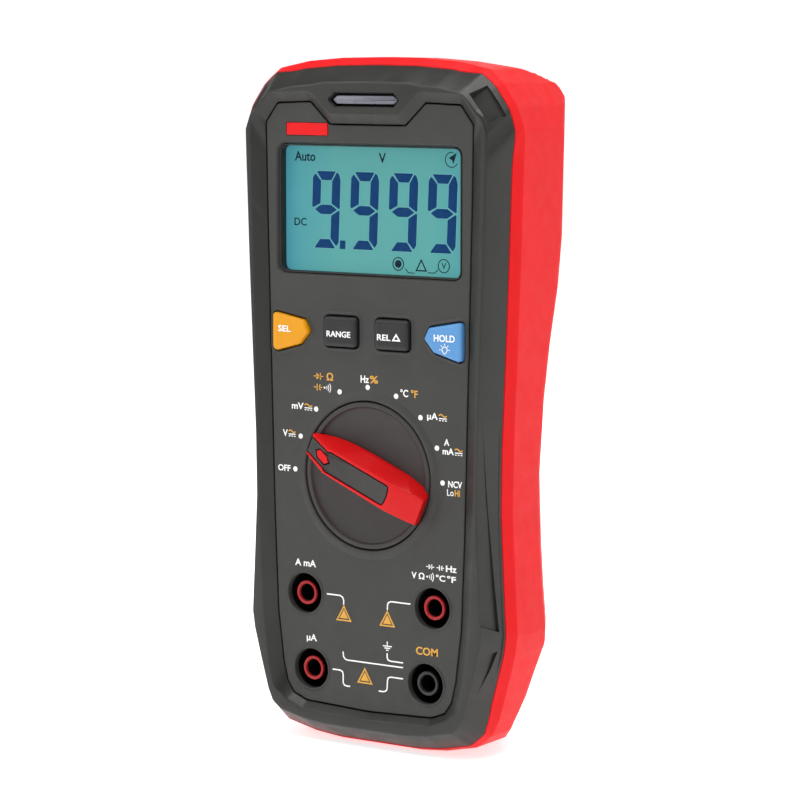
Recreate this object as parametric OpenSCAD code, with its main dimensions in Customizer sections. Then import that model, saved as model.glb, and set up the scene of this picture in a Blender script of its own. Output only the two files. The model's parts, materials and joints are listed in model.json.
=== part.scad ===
// Handheld digital multimeter: dark front, red rear shell, rotary selector, four keys,
// display, four test-lead sockets, tilt stand and battery bay.
// Millimetres. +X right and +Z up seen from the front, -Y out of the front.
// The origin is under the middle of the case, at its lowest point.

/* [Piece] */
// Which piece to draw

/* [Case] */
// Height from the dial centre to the top of the case
top_up = 102.3; // [90:0.1:115]
// Depth from the dial centre to the bottom of the case
bottom_down = 68.5; // [60:0.1:80]
// Half width at the shoulders
shoulder_half = 40.6; // [36:0.1:46]
// Half width at the waist beside the dial
waist_half = 38.0; // [34:0.1:42]
// Half width at the hips beside the sockets
hip_half = 39.6; // [35:0.1:44]
// Half width where the foot begins to round
foot_half = 34.2; // [30:0.1:40]
// Depth of the case behind the printed panel
case_depth = 32; // [26:0.5:40]
// Depth where the red shell starts
seam_depth = 4.5; // [3:0.1:8]
// Depth where the red shell reaches its full width
crease_depth = 7; // [5:0.1:10]
// How far the dark front stands proud of the printed panel
ridge_rise = 1.6; // [0.5:0.1:3]
// Wall of the rear shell
wall = 2.4; // [1.6:0.1:3.5]

/* [Panel] */
// Thickness of the printed panel
panel_t = 2.4; // [1.6:0.1:4]
// Gap between the panel and the dark front around it
panel_gap = 0.35; // [0.1:0.05:0.8]
// Width the hidden flange of the panel adds all round
panel_flange = 2.6; // [1:0.1:4]

/* [Display] */
// Half width of the display opening
window_half = 26.8; // [20:0.1:30]
// Lower edge of the display opening above the dial centre
window_low = 49.2; // [40:0.1:60]
// Upper edge of the display opening above the dial centre
window_high = 81; // [70:0.1:90]
// Corner radius of the display opening
window_r = 2.4; // [0.5:0.1:5]

/* [Dial] */
// Radius of the round opening for the dial
dial_hole_r = 18.55; // [15:0.05:22]
// Running gap round the dial
dial_gap = 0.3; // [0.2:0.05:0.6]
// Angle between two dial positions
dial_step = 22.5; // [15:0.5:45]
// Number of dial positions
dial_positions = 9; // [2:1:16]
// Dial position drawn, counted clockwise from off
dial_at = 1; // [0:1:8]
// Height of the red handle above the panel
bar_rise = 5.6; // [3:0.1:9]
// Half width of the handle
bar_half = 4.4; // [3:0.1:7]
// Radius of the dial shaft
shaft_r = 3; // [2:0.1:5]

/* [Keys] */
// Height of the keys above the panel
key_rise = 1.3; // [0.5:0.1:3]
// Running gap round each key
key_gap = 0.3; // [0.15:0.05:0.6]
// How far a key can be pressed
key_travel = 1; // [0.5:0.1:2]
// Middle height of the key row above the dial centre
key_mid = 35.2; // [30:0.1:45]

/* [Sockets] */
// Bore radius of the socket contact
bore_r = 2; // [2:0.01:2.2]
// Depth of the socket contact
contact_len = 14.6; // [10:0.1:20]
// Outside radius of the insulating sleeve
sleeve_r = 3; // [2.8:0.05:3.3]
// Inside radius of the socket well
well_r = 5.05; // [4.5:0.05:6]
// Half spacing of the upper pair of sockets
jack_top_half = 19.05; // [15:0.01:25]
// Distance of the upper pair below the dial centre
jack_top_down = 31.14; // [25:0.01:40]
// Half spacing of the lower pair of sockets
jack_low_half = 17.09; // [15:0.01:25]
// Distance of the lower pair below the dial centre
jack_low_down = 50.12; // [45:0.01:55]

/* [Stand] */
// Half width of the tilt stand
stand_half = 21.4; // [15:0.1:25]
// Height of the stand hinge above the dial centre
hinge_up = 57.5; // [50:0.1:65]
// Length of the stand below its hinge
stand_len = 79; // [60:1:90]
// Thickness of the stand
stand_t = 2.4; // [1.8:0.1:4]
// Radius of the hinge pins
pin_r = 1.4; // [1:0.05:2]

/* [Hidden] */
$fn = 48;
eps = 0.01;
dial_z = bottom_down;
dial_y = -(case_depth - bar_rise) / 2;
mid_up = (top_up - bottom_down) / 2;
half_high = (top_up + bottom_down) / 2;
seam_in = 1.8;
ridge_in = 5.2;
ridge_in_ends = 6.3;
bezel_high = ridge_rise + seam_depth;
dial_r = dial_hole_r - dial_gap;
dial_angle = -(dial_positions - 1) / 2 * dial_step + dial_at * dial_step;
pcb_y = 8.2;
pcb_t = 1.6;
back_in = case_depth - 2.8;
cavity_back = back_in - 2.2;
hinge_y = case_depth - 2.3;
barrel_r = 2.2;
well_wall = 1;
well_deep = 18.4;
tray_y = 11;
tray_low = -9;
tray_high = 49.4;
cell_r = 7.1;
cell_len = 50;
cell_y = tray_y + 1.2 + cell_r + 0.2;
post_x = 27.5;
post_z = 22;
fuse_z = -21;
jack_spots = [[-jack_top_half, -jack_top_down], [jack_top_half, -jack_top_down],
  [-jack_low_half, -jack_low_down], [jack_low_half, -jack_low_down]];
dark = [0.22, 0.22, 0.21];
panel_grey = [0.30, 0.30, 0.29];
red = [0.86, 0.10, 0.13];
black = [0.06, 0.06, 0.06];
brass = [0.78, 0.62, 0.30];
steel = [0.72, 0.73, 0.75];
board = [0.05, 0.30, 0.16];

// Moves dial-centred pieces to their place over the ground
module set_in() {
  translate([0, dial_y, dial_z]) children();
}

// A flat plate drawn in X and Z, from depth y0 to depth y1
module slab(y0, y1) {
  translate([0, y1, 0]) rotate([90, 0, 0]) linear_extrude(y1 - y0) children();
}

// A round rod along Y from depth y0 to depth y1
module rod(x, z, y0, y1, r) {
  translate([x, y1, z]) rotate([90, 0, 0]) cylinder(h = y1 - y0, r = r);
}

// A turned piece about the Y axis, its profile drawn as radius and depth
module turned() {
  rotate([-90, 0, 0]) rotate_extrude($fn = 72) children();
}

// Right half of the case outline, from top to bottom, moved in by i
function right_half(i) = [
  [12, top_up - 0.2 - i], [22, top_up - 1 - i], [shoulder_half - 10 - i * 0.4, top_up - 2.7 - i],
  [shoulder_half - 5.9 - i * 0.7, top_up - 6.2 - i * 0.7], [shoulder_half - 2 - i * 0.9,
    top_up - 11.6 - i * 0.4],
  [shoulder_half - i, top_up - 17.2 - i * 0.2], [shoulder_half - 1 - i, 52], [shoulder_half - 1.9 - i,
    28],
  [waist_half + 0.2 - i, 9], [waist_half - i, -7], [waist_half + 0.8 - i, -24], [hip_half - i, -37],
  [hip_half - 0.7 - i, -42], [foot_half + 2.2 - i, 18.5 - bottom_down + i * 0.1],
  [foot_half - i, 10.6 - bottom_down + i * 0.2], [foot_half - 2 - i, 6 - bottom_down + i * 0.5],
  [foot_half - 6.4 - i * 0.7, 2.6 - bottom_down + i], [foot_half - 15, 0.7 - bottom_down + i],
  [12, i - bottom_down]];

// Closed outline from a right half
function both(h) = concat(
  h, [for (k = [len(h) - 1 : -1 : 0]) [-h[k][0], h[k][1]]]);

module outline(i) {
  polygon(both(concat([[0.01, top_up - i]], right_half(i), [[0.01, -bottom_down + i]])));
}

// Panel outline with the raised indicator block cut from its top edge
function panel_half(g) = [
  [11 + g * 0.4, 86.1 + g], [16.8 + g * 0.4, 91.6 + g], [27 + g * 0.5, 91.2 + g], [30.6 + g,
    86.4 + g * 0.5], [30.3 + g, 68],
  [29.3 + g, 25], [28.4 + g, -13], [27.5 + g, -36], [25.9 + g, -49], [24.7 + g, -54 - g * 0.3],
  [22.7 + g * 0.8, -57 - g * 0.7], [18.7 + g * 0.3, -58.6 - g]];

module panel_outline(g) {
  polygon(both(concat(panel_half(g), [[0.01, -59.3 - g]])));
}

// Panel outline without the notch, for the flange and the space under the front
module flange_outline(g) {
  polygon(both(concat([[0.01, 91.8 + g]], [for (k = [2 : 11]) panel_half(g)[k]], [[0.01, -59.3 - g]])));
}

module rounded(x0, x1, z0, z1, r) {
  hull() for (x = [x0 + r, x1 - r], z = [z0 + r, z1 - r]) translate([x, z]) circle(r, $fn = 24);
}

// Corner key: s is -1 for the left key and 1 for the right one
module corner_key_shape(s, g) {
  polygon([[s * (17 - g), key_mid - 0.4], [s * (18.4 - g), key_mid + 2.4 + g], [s * (27.2 + g * 0.4),
    key_mid + 4 + g],
    [s * (28 + g), key_mid + 3.6 + g * 0.4], [s * (28 + g), key_mid - 4.8 - g * 0.4],
    [s * (27 + g * 0.4), key_mid - 5.6 - g], [s * (19.8 - g), key_mid - 3.6 - g]]);
}

module square_key_shape(s, g) {
  translate([s * 7.6, key_mid]) square([9.85 + 2 * g, 7.5 + 2 * g], center = true);
}

// Handle outline along its own length, pointing up, grown by g
module bar_shape(g) {
  polygon([[-2.5 - g, 17.2], [-3.6 - g, 13], [-bar_half - g, 7.5], [-bar_half - 0.1 - g, -9],
    [-bar_half + 0.4 - g, -15],
    [-bar_half + 0.9 - g, -19.6 - g], [bar_half - 0.9 + g, -19.6 - g], [bar_half - 0.4 + g, -15],
    [bar_half + 0.1 + g, -9], [bar_half + g, 7.5], [3.6 + g, 13], [2.5 + g, 17.2], [1.9, 17.2], [0.9,
      14.8], [-0.9, 14.8],
    [-1.9, 17.2]]);
}

module inlay_shape(g) {
  polygon([[-2.6 - g, 8.6 + g], [-2.6 - g, -9 - g], [2.6 + g, -9 - g], [2.6 + g, 8.6 + g]]);
}

module mark_shape(g) {
  polygon([[0, 13.6 + g], [-1.3 - g, 12.4], [-1.3 - g, 10.8], [0, 9.6 - g], [1.3 + g, 10.8], [1.3 + g,
    12.4]]);
}

module at_dial() {
  rotate([0, dial_angle, 0]) children();
}

module front_panel() {
  set_in() color(panel_grey) difference() {
    union() {
      slab(0, 1) panel_outline(-panel_gap);
      slab(1 - eps, panel_t) flange_outline(panel_flange);
      for (s = [-1, 1]) rod(s * post_x, post_z, panel_t - eps, pcb_y, 2.2);
      for (s = [-1, 1]) rod(s * 12, -59.4, panel_t - eps, pcb_y + 6, 2.6);
      for (s = [-1, 1]) rod(s * 30, 88, panel_t - eps, pcb_y + 6, 2.6);
    }
    slab(-1, panel_t + 1) rounded(-window_half, window_half, window_low, window_high, window_r);
    rod(0, 0, -1, panel_t + 1, dial_hole_r);
    for (s = [-1, 1]) slab(-1, panel_t + 1) corner_key_shape(s, key_gap);
    for (s = [-1, 1]) slab(-1, panel_t + 1) square_key_shape(s, key_gap);
    for (j = jack_spots) rod(j[0], j[1], -1, panel_t + 1, well_r);
    slab(-1, panel_t + 1) polygon([[-9.4, 91.9], [-8, 93.2], [8, 93.2], [9.4, 91.9], [8, 90.6], [-8,
      90.6]]);
    for (s = [-1, 1]) rod(s * post_x, post_z, panel_t + 0.4, pcb_y + 1, 0.8);
    for (s = [-1, 1]) rod(s * 12, -59.4, panel_t + 1, pcb_y + 7, 1);
    for (s = [-1, 1]) rod(s * 30, 88, panel_t + 1, pcb_y + 7, 1);
    slab(-1, 0.4) translate([-24.2, 83.1]) square([12.6, 3.2]);
  }
}

module front_bezel() {
  set_in() color(dark) difference() {
    translate([0, seam_depth, mid_up]) rotate([90, 0, 0])
      linear_extrude(bezel_high, slices = 1,
        scale = [1 - (ridge_in - seam_in) / (waist_half + 1 - seam_in),
        1 - (ridge_in_ends - seam_in) / half_high])
        translate([0, -mid_up]) outline(seam_in);
    slab(-ridge_rise - 1, 1) panel_outline(0);
    slab(1 - eps, seam_depth + 1) flange_outline(panel_flange + 0.1);
    for (s = [-1, 1]) rod(s * 12, -59.4, 1, seam_depth + 1, 2.7);
    for (s = [-1, 1]) rod(s * 30, 88, 1, seam_depth + 1, 2.7);
    for (s = [-1, 1]) translate([s * 34, 1.8, 90.6]) rotate([0, s * 54, 0])
      cube([6.6, 2, 2.4], center = true);
    difference() {
      slab(seam_depth - 0.82, seam_depth + 1) outline(2.48);
      slab(seam_depth - 2, seam_depth + 2) outline(3.52);
    }
    slab(-ridge_rise - 1, 2) polygon([[-9.3, 91.9], [-7.9, 93.1], [7.9, 93.1], [9.3, 91.9], [7.9,
      90.7], [-7.9, 90.7]]);
  }
}

// Cutting profile of the side scoops, drawn as height and distance across the scoop
function scoop(i) = [[110, 48.4 - i], [93, 47.8 - i], [59, 47.2 - i], [47, 46.3 - i], [33, 44.4 - i],
  [19, 43 - i],
  [0, 42 - i], [-17, 42.5 - i], [-28, 43.1 - i], [-37, 43.8 - i], [-41, 43.6 - i], [-47, 41.4 - i],
  [-54, 39.1 - i], [-60, 36.4 - i], [-72, 31.5 - i]];

// Keeps what lies inside both scooped sides, i deeper than the outside
module scooped(i) {
  lean = atan2(1, 1.68);
  for (s = [0, 1]) mirror([s, 0, 0])
    rotate([0, 0, lean]) translate([0, 70, 0]) rotate([90, 0, 0]) linear_extrude(180)
      polygon(concat([for (p = scoop(i)) [p[1], p[0]]], [[90, -72], [90, 110]]));
}

module rear_shell() {
  set_in() color(red) difference() {
    union() {
      translate([0, crease_depth, mid_up]) rotate([90, 0, 0])
        linear_extrude(crease_depth - seam_depth, slices = 1,
          scale = [1 - seam_in / (waist_half + 1), 1 - seam_in / half_high])
          translate([0, -mid_up]) outline(0);
      slab(crease_depth - eps, case_depth) outline(0);
    }
    scooped(0);
    difference() {
      slab(seam_depth - 1, cavity_back) outline(seam_in + wall);
      scooped(wall);
      slab(cavity_back - 3.6, case_depth) translate([-28, hinge_up - 5]) square([56, 10]);
      for (s = [-1, 1]) rod(s * 12, -59.4, pcb_y + 6, case_depth, 3.4);
      for (s = [-1, 1]) rod(s * 30, 88, pcb_y + 6, case_depth, 3.4);
    }
    slab(back_in, case_depth + 1) translate([-stand_half - 0.4, hinge_up - stand_len - 1])
      square([2 * stand_half + 0.8, stand_len + 4]);
    slab(hinge_y - barrel_r - 0.4, case_depth + 1) translate([-stand_half - 0.4, hinge_up - 3])
      square([2 * stand_half + 0.8, 6]);
    slab(back_in, case_depth + 1) translate([-8, hinge_up - stand_len - 7]) square([16, 8]);
    rotate([90, 0, 90]) linear_extrude(100, center = true) polygon([[crease_depth + 3, top_up + 1],
      [crease_depth + 3, top_up], [20, top_up - 0.9], [26, top_up - 2.2], [30, top_up - 4], [34,
        top_up - 6.6],
      [34, top_up + 1]]);
    rotate([90, 0, 90]) linear_extrude(100, center = true) polygon([[26, -bottom_down - 1], [26,
      -bottom_down],
      [30, 1.4 - bottom_down], [34, 3.8 - bottom_down], [34, -bottom_down - 1]]);
    translate([0, hinge_y, hinge_up]) rotate([0, 90, 0])
      cylinder(h = 2 * stand_half + 5.4, r = pin_r + 0.05, center = true);
    slab(cavity_back - 1, back_in + 1) translate([-18.2, -17.2]) square([36.4, 68.4]);
    for (s = [-1, 1]) rod(s * 12, -59.4, 0, case_depth + 1, 1.3);
    for (s = [-1, 1]) rod(s * 12, -59.4, case_depth - 6, case_depth + 1, 2.7);
    for (s = [-1, 1]) rod(s * 30, 88, 0, case_depth + 1, 1.3);
    for (s = [-1, 1]) rod(s * 30, 88, case_depth - 6, case_depth + 1, 2.7);
  }
}

module light_pipe() {
  set_in() color([0.6, 0.6, 0.65]) {
    slab(-ridge_rise + 0.1, 3) polygon([[-8.9, 91.9], [-7.6, 92.9], [7.6, 92.9], [8.9, 91.9], [7.6,
      90.9], [-7.6, 90.9]]);
    slab(3 - eps, 6) translate([-3, 91]) square([6, 1.8]);
  }
}

module badge_plate() {
  set_in() color(red) slab(-0.1, 0.4 - eps) translate([-24.1, 83.2]) square([12.4, 3]);
}

module lcd_window() {
  set_in() color([0.75, 0.9, 0.9, 0.4]) slab(0.8, 2)
    rounded(-window_half + 0.15, window_half - 0.15, window_low + 0.15, window_high - 0.15,
      window_r - 0.1);
}

module lcd_glass() {
  set_in() color([0.36, 0.67, 0.67]) slab(2.9, 4.9) translate([-28, 46.6]) square([56, 36.4]);
}

module lcd_backlight() {
  set_in() color([0.9, 0.95, 0.95]) slab(5, 7.4) translate([-27, 49.4]) square([54, 33]);
}

module lcd_holder() {
  set_in() color([0.85, 0.85, 0.83]) difference() {
    slab(panel_t + 0.1, 7.8) translate([-30, 45]) square([60, 40]);
    slab(0, 2.85) rounded(-window_half, window_half, window_low, window_high, window_r);
    slab(2.8, 9) translate([-28.1, 46.5]) square([56.2, 36.6]);
  }
}

module zebra_strip() {
  set_in() color([0.9, 0.6, 0.65]) slab(4.95, pcb_y - 0.05) translate([-24, 46.9]) square([48, 2]);
}

module knob_dial() {
  set_in() color(dark) difference() {
    turned() polygon([[0, 1.3], [6, 1.2], [12, 0.8], [16.6, 0.2], [17.1, -0.1], [dial_r - 0.3, -0.1],
      [dial_r, 0.2],
      [dial_r, panel_t + 0.3], [dial_r + 1.6, panel_t + 0.3], [dial_r + 1.6, 3.5], [dial_r - 2, 3.5],
        [dial_r - 2, 2.8],
      [shaft_r, 2.8], [shaft_r, 10.5], [shaft_r - 0.3, 10.8], [0, 10.8]]);
    turned() polygon([[shaft_r - 0.6, 9.93], [shaft_r + 1, 9.93], [shaft_r + 1, 10.42],
      [shaft_r - 0.6, 10.42]]);
    rotate([0, dial_angle, 0]) slab(-2, 2.1) translate([-2, -9]) square([4, 17]);
  }
}

module knob_bar() {
  set_in() color(red) at_dial() difference() {
    union() {
      hull() {
        slab(-bar_rise, -bar_rise + eps) offset(delta = -0.9) bar_solid();
        slab(-0.9, -0.9 + eps) bar_solid();
      }
      difference() {
        slab(-0.9 - eps, 1.25) bar_solid();
        difference() {
          rod(0, 0, -4, 3, 40);
          rod(0, 0, -5, 4, 16.4);
        }
        turned() polygon([[0, 3], [0, 1.28], [6, 1.18], [12, 0.78], [16.6, 0.18], [17, 3]]);
      }
      slab(-0.9, 2.05) translate([-1.8, -8.8]) square([3.6, 16.6]);
    }
    slab(-bar_rise - 1, -bar_rise + 1) inlay_shape(0.25);
    slab(-bar_rise - 1, -bar_rise + 1.1) mark_shape(0.2);
    slab(-bar_rise - 1, -bar_rise + 2.8) polygon([[-1.5, 18], [-0.7, 15], [0.7, 15], [1.5, 18]]);
    translate([0, -bar_rise, 18]) rotate([24, 0, 0]) cube([20, 5.6, 9.4], center = true);
  }
}

// Handle outline with its fork closed
module bar_solid() {
  polygon([[-2.5, 17.2], [-3.6, 13], [-bar_half, 7.5], [-bar_half - 0.1, -9], [-bar_half + 0.4, -15],
    [-bar_half + 0.9, -19.6], [bar_half - 0.9, -19.6], [bar_half - 0.4, -15], [bar_half + 0.1, -9],
      [bar_half, 7.5],
    [3.6, 13], [2.5, 17.2]]);
}

module knob_inlay() {
  set_in() color(dark) at_dial() slab(-bar_rise + 0.05, -bar_rise + 1 - eps) inlay_shape(0);
}

module knob_mark() {
  set_in() color(red) at_dial() slab(-bar_rise + 0.35, -bar_rise + 1.1 - eps) mark_shape(0);
}

module knob_oring() {
  set_in() color(black) turned() translate([shaft_r + 0.75, 4.4]) circle(0.7, $fn = 24);
}

module knob_rotor() {
  set_in() color([0.92, 0.92, 0.88]) difference() {
    turned() polygon([[shaft_r + 0.01, 5.2], [15.6, 5.2], [15.6, 7.4], [shaft_r + 0.01, 7.4]]);
    for (a = [0, 180]) rotate([0, a, 0]) slab(5.5, 7.2) translate([11.4, -0.9]) square([6, 1.8]);
  }
}

module knob_wipers() {
  set_in() color(brass) for (a = [30, 150, 270]) rotate([0, a, 0]) difference() {
    slab(7.4, 7.9) translate([5, -2]) square([8, 4]);
    slab(7, 8) translate([6, -0.5]) square([8, 1]);
  }
}

module knob_clip() {
  set_in() color(steel) difference() {
    turned() polygon([[shaft_r - 0.55, 9.95], [shaft_r + 2.2, 9.95], [shaft_r + 2.2, 10.4],
      [shaft_r - 0.55, 10.4]]);
    slab(9, 12) translate([-1.6, 0]) square([3.2, 8]);
  }
}

module detent_balls() {
  set_in() color(steel) for (a = [0, 180]) rotate([0, a, 0]) translate([15.1, 6.35, 0])
    sphere(0.8, $fn = 24);
}

module detent_springs() {
  set_in() color(steel) for (a = [0, 180]) rotate([0, a, 0])
    for (k = [0 : 3]) translate([11.9 + k * 0.75, 6.35, 0]) rotate([0, 90, 0])
      rotate_extrude($fn = 24) translate([0.4, 0]) circle(0.12, $fn = 8);
}

module detent_ring() {
  set_in() color([0.92, 0.92, 0.88]) difference() {
    turned() polygon([[16, 5.2], [18.4, 5.2], [18.4, pcb_y - 0.02], [16, pcb_y - 0.02]]);
    for (k = [0 : 15]) rotate([0, k * dial_step, 0]) rod(16.4, 0, 5, 9, 0.75);
  }
}

module key_select() {
  set_in() color([0.96, 0.65, 0.08]) {
    slab(-key_rise, panel_t + 0.1) corner_key_shape(-1, 0);
    slab(panel_t + 0.1 - eps, 3.4) translate([-29.2, key_mid - 6.6]) square([13, 11.6]);
  }
}

module key_range() {
  set_in() color([0.2, 0.2, 0.21]) {
    slab(-key_rise, panel_t + 0.1) square_key_shape(-1, 0);
    slab(panel_t + 0.1 - eps, 3.4) square_key_shape(-1, 0.8);
  }
}

module key_relative() {
  set_in() color([0.2, 0.2, 0.21]) {
    slab(-key_rise, panel_t + 0.1) square_key_shape(1, 0);
    slab(panel_t + 0.1 - eps, 3.4) square_key_shape(1, 0.8);
  }
}

module key_hold() {
  set_in() color([0.35, 0.63, 0.88]) {
    slab(-key_rise, panel_t + 0.1) corner_key_shape(1, 0);
    slab(panel_t + 0.1 - eps, 3.4) translate([16.2, key_mid - 6.6]) square([13, 11.6]);
  }
}

// Rubber sheet under the keys, with one hollow dome per key
module key_mat() {
  set_in() color([0.75, 0.75, 0.72]) difference() {
    union() {
      slab(7, pcb_y - 0.02) translate([-29, key_mid - 7.2]) square([58, 12.6]);
      for (x = [-22.4, -7.6, 7.6, 22.4]) rod(x, key_mid - 0.6, 3.6, 7 + eps, 2.2);
    }
    for (x = [-22.4, -7.6, 7.6, 22.4]) rod(x, key_mid - 0.6, 6, pcb_y + 1, 1.5);
  }
}

module jack_wells() {
  set_in() color(black) difference() {
    for (j = jack_spots) rod(j[0], j[1], panel_t, well_deep, well_r + well_wall);
    for (j = jack_spots) rod(j[0], j[1], panel_t - 1, well_deep - 1.6, well_r);
    for (j = jack_spots) rod(j[0], j[1], panel_t, well_deep + 1, 2.62);
  }
}

module socket_sleeve(j) {
  difference() {
    rod(j[0], j[1], 0.6, well_deep - 1.6 - eps, sleeve_r);
    rod(j[0], j[1], 0, 2.2 + eps, bore_r + 0.08);
    rod(j[0], j[1], 2.2, well_deep, 2.62);
  }
}

module jack_sleeves_red() {
  set_in() color([0.8, 0.15, 0.15]) for (k = [0 : 2]) socket_sleeve(jack_spots[k]);
}

module jack_sleeve_dark() {
  set_in() color([0.15, 0.15, 0.15]) socket_sleeve(jack_spots[3]);
}

module jack_contacts() {
  set_in() color(brass) difference() {
    for (j = jack_spots) rod(j[0], j[1], 2.4, well_deep, 2.6);
    for (j = jack_spots) rod(j[0], j[1], 2, 2.4 + contact_len, bore_r);
  }
}

module jack_tags() {
  set_in() color(brass) for (j = jack_spots) {
    slab(well_deep, well_deep + 0.8) translate([j[0] - 2.2, j[1] - 2.2]) square([4.4, 11]);
    slab(pcb_y + pcb_t, well_deep + eps) translate([j[0] - 2.2, j[1] + 7.8]) square([4.4, 1]);
  }
}

module main_pcb() {
  set_in() color(board) difference() {
    slab(pcb_y, pcb_y + pcb_t) polygon(both([[20, 96], [22.5, 84], [33, 81], [31.5, 30], [31, 0],
      [31.5, -30], [28, -48],
      [25, -55.8]]));
    rod(0, 0, 7, 12, shaft_r + 0.6);
    for (j = jack_spots) rod(j[0], j[1], 7, 12, well_r + well_wall + 0.3);
    for (s = [-1, 1]) rod(s * post_x, post_z, 7, 12, 1.2);
  }
}

module switch_pads() {
  set_in() color([0.85, 0.68, 0.25]) for (k = [0 : dial_positions - 1]) for (r = [6, 10.2])
    rotate([0, (k - (dial_positions - 1) / 2) * dial_step, 0])
      slab(pcb_y - 0.1, pcb_y - 0.01) translate([-0.9, r]) square([1.8, 2.4]);
}

module indicator_led() {
  set_in() color([0.95, 0.95, 0.9]) slab(6.6, pcb_y - 0.01) translate([-2, 91.1]) square([4, 1.6]);
}

module main_chip() {
  set_in() color(black) slab(pcb_y + pcb_t, pcb_y + pcb_t + 1.4) translate([-7, 60]) square([14, 14]);
}

module side_chips() {
  set_in() color(black) for (p = [[-20, 62], [-20, 72], [-22, 4], [22, 8]])
    slab(pcb_y + pcb_t, pcb_y + pcb_t + 1.2) translate(p) square([5, 4], center = true);
}

module crystal() {
  set_in() color(steel) slab(pcb_y + pcb_t, pcb_y + pcb_t + 1.6) rounded(9.5, 12.7, 62, 70, 1.5);
}

module radio_module() {
  set_in() color([0.7, 0.72, 0.74]) {
    slab(pcb_y + pcb_t, pcb_y + pcb_t + 0.8) translate([17, 60]) square([11, 15]);
    slab(pcb_y + pcb_t + 0.8 - eps, pcb_y + pcb_t + 2.4) translate([17.7, 60.7]) square([9.6, 10]);
  }
}

module buzzer() {
  set_in() color(black) difference() {
    rod(-22, 84 - 62, pcb_y + pcb_t, pcb_y + pcb_t + 4, 3.4);
    rod(-22, 84 - 62, pcb_y + pcb_t + 3, pcb_y + pcb_t + 5, 0.8);
  }
}

module ptc_disc() {
  set_in() color([0.85, 0.55, 0.15]) slab(pcb_y + pcb_t, pcb_y + pcb_t + 7) translate([-4, -52])
    square([8, 3]);
}

module varistors() {
  set_in() color([0.1, 0.25, 0.6]) for (s = [-1, 1])
    slab(pcb_y + pcb_t, pcb_y + pcb_t + 7) translate([s * 6.4 - 2, -44]) square([4, 8]);
}

module shunt_wire() {
  set_in() color([0.7, 0.5, 0.35]) difference() {
    translate([-27, pcb_y + pcb_t, -14]) rotate([90, 0, 90]) rotate_extrude($fn = 36)
      translate([4, 0]) circle(0.7, $fn = 16);
    slab(0, pcb_y + pcb_t) translate([-34, -24]) square([14, 20]);
  }
}

module fuse_clips() {
  set_in() color(brass) for (x = [-13, 13]) difference() {
    slab(pcb_y + pcb_t, pcb_y + pcb_t + 6.4) translate([x - 2, fuse_z - 3.8]) square([4, 7.6]);
    translate([x - 3, pcb_y + pcb_t + 4.2, fuse_z]) rotate([0, 90, 0]) cylinder(h = 6, r = 3.22);
    slab(pcb_y + pcb_t + 4.2, pcb_y + pcb_t + 7) translate([x - 3, fuse_z - 2.9]) square([6, 5.8]);
  }
}

module fuse_body() {
  set_in() color([0.92, 0.9, 0.85]) translate([-10.6, pcb_y + pcb_t + 4.2, fuse_z]) rotate([0, 90, 0])
    cylinder(h = 21.2, r = 3);
}

module fuse_caps() {
  set_in() color(steel) for (x = [-16, 10.6]) translate([x, pcb_y + pcb_t + 4.2, fuse_z])
    rotate([0, 90, 0])
    cylinder(h = 5.4, r = 3.2);
}

module field_sensor() {
  set_in() color([0.8, 0.5, 0.3]) slab(pcb_y + pcb_t, pcb_y + pcb_t + 0.3) translate([-17, 92])
    square([34, 2.5]);
}

module screw(x, z, y_head, len, r) {
  rod(x, z, y_head - len, y_head + r * 0.3, r);
  difference() {
    rod(x, z, y_head, y_head + r * 1.2, r * 1.9);
    for (a = [0, 90]) translate([x, y_head + r * 1.2, z]) rotate([0, a, 0])
      cube([r * 2.4, r * 1.2, r * 0.5], center = true);
  }
}

module pcb_screws() {
  set_in() color(steel) for (s = [-1, 1]) screw(s * post_x, post_z, pcb_y + pcb_t, 6, 0.78);
}

module case_seal() {
  set_in() color(black) difference() {
    slab(seam_depth - 0.8, seam_depth - 0.02) outline(2.5);
    slab(seam_depth - 2, seam_depth + 1) outline(3.5);
  }
}

module battery_tray() {
  set_in() color([0.12, 0.12, 0.12]) difference() {
    union() {
      slab(tray_y, cavity_back - 1.6) translate([-17.8, tray_low - 1.2])
        square([35.6, tray_high - tray_low + 2.4]);
      slab(tray_y, cavity_back - 0.1) translate([-6, tray_low - 7.6]) square([12, 6.4 + eps]);
    }
    slab(tray_y + 1.2, cavity_back + 1) translate([-16.6, tray_low])
      square([33.2, tray_high - tray_low]);
    rod(0, tray_low - 4.4, cavity_back - 8, cavity_back + 1, 1.02);
  }
}

module battery_cells() {
  set_in() color([0.75, 0.55, 0.15]) for (s = [-1, 1])
    translate([s * 8.2, cell_y, s > 0 ? tray_high - 0.5 - cell_len / 2 : tray_low + 0.5 + cell_len / 2])
      rotate([s > 0 ? 0 : 180, 0, 0]) {
        translate([0, 0, -cell_len / 2]) cylinder(h = cell_len - 1.5, r = cell_r);
        translate([0, 0, cell_len / 2 - 1.5 - eps]) cylinder(h = 1.5 + eps, r = 2.7);
      }
}

module battery_contacts() {
  set_in() color(steel) for (s = [-1, 1]) {
    slab(tray_y + 2, tray_y + 13) translate([s * 8.2 - 6, tray_high - 0.4]) square([12, 0.4 - eps]);
    slab(tray_y + 2, tray_y + 13) translate([s * 8.2 - 6, tray_low + eps]) square([12, 0.4]);
  }
}

module battery_springs() {
  set_in() color(steel) for (s = [-1, 1]) for (k = [0 : 4])
    translate([s * 8.2, cell_y, s > 0 ? tray_low + 0.9 + k * 1.62 : tray_high - 0.9 - k * 1.62])
      rotate_extrude($fn = 36) translate([4.4 - k * 0.4, 0]) circle(0.4, $fn = 12);
}

module battery_leads() {
  set_in() color([0.8, 0.1, 0.1]) for (s = [-1, 1])
    rod(s * 15, 53, pcb_y + pcb_t, tray_y + 6, 0.8);
}

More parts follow.
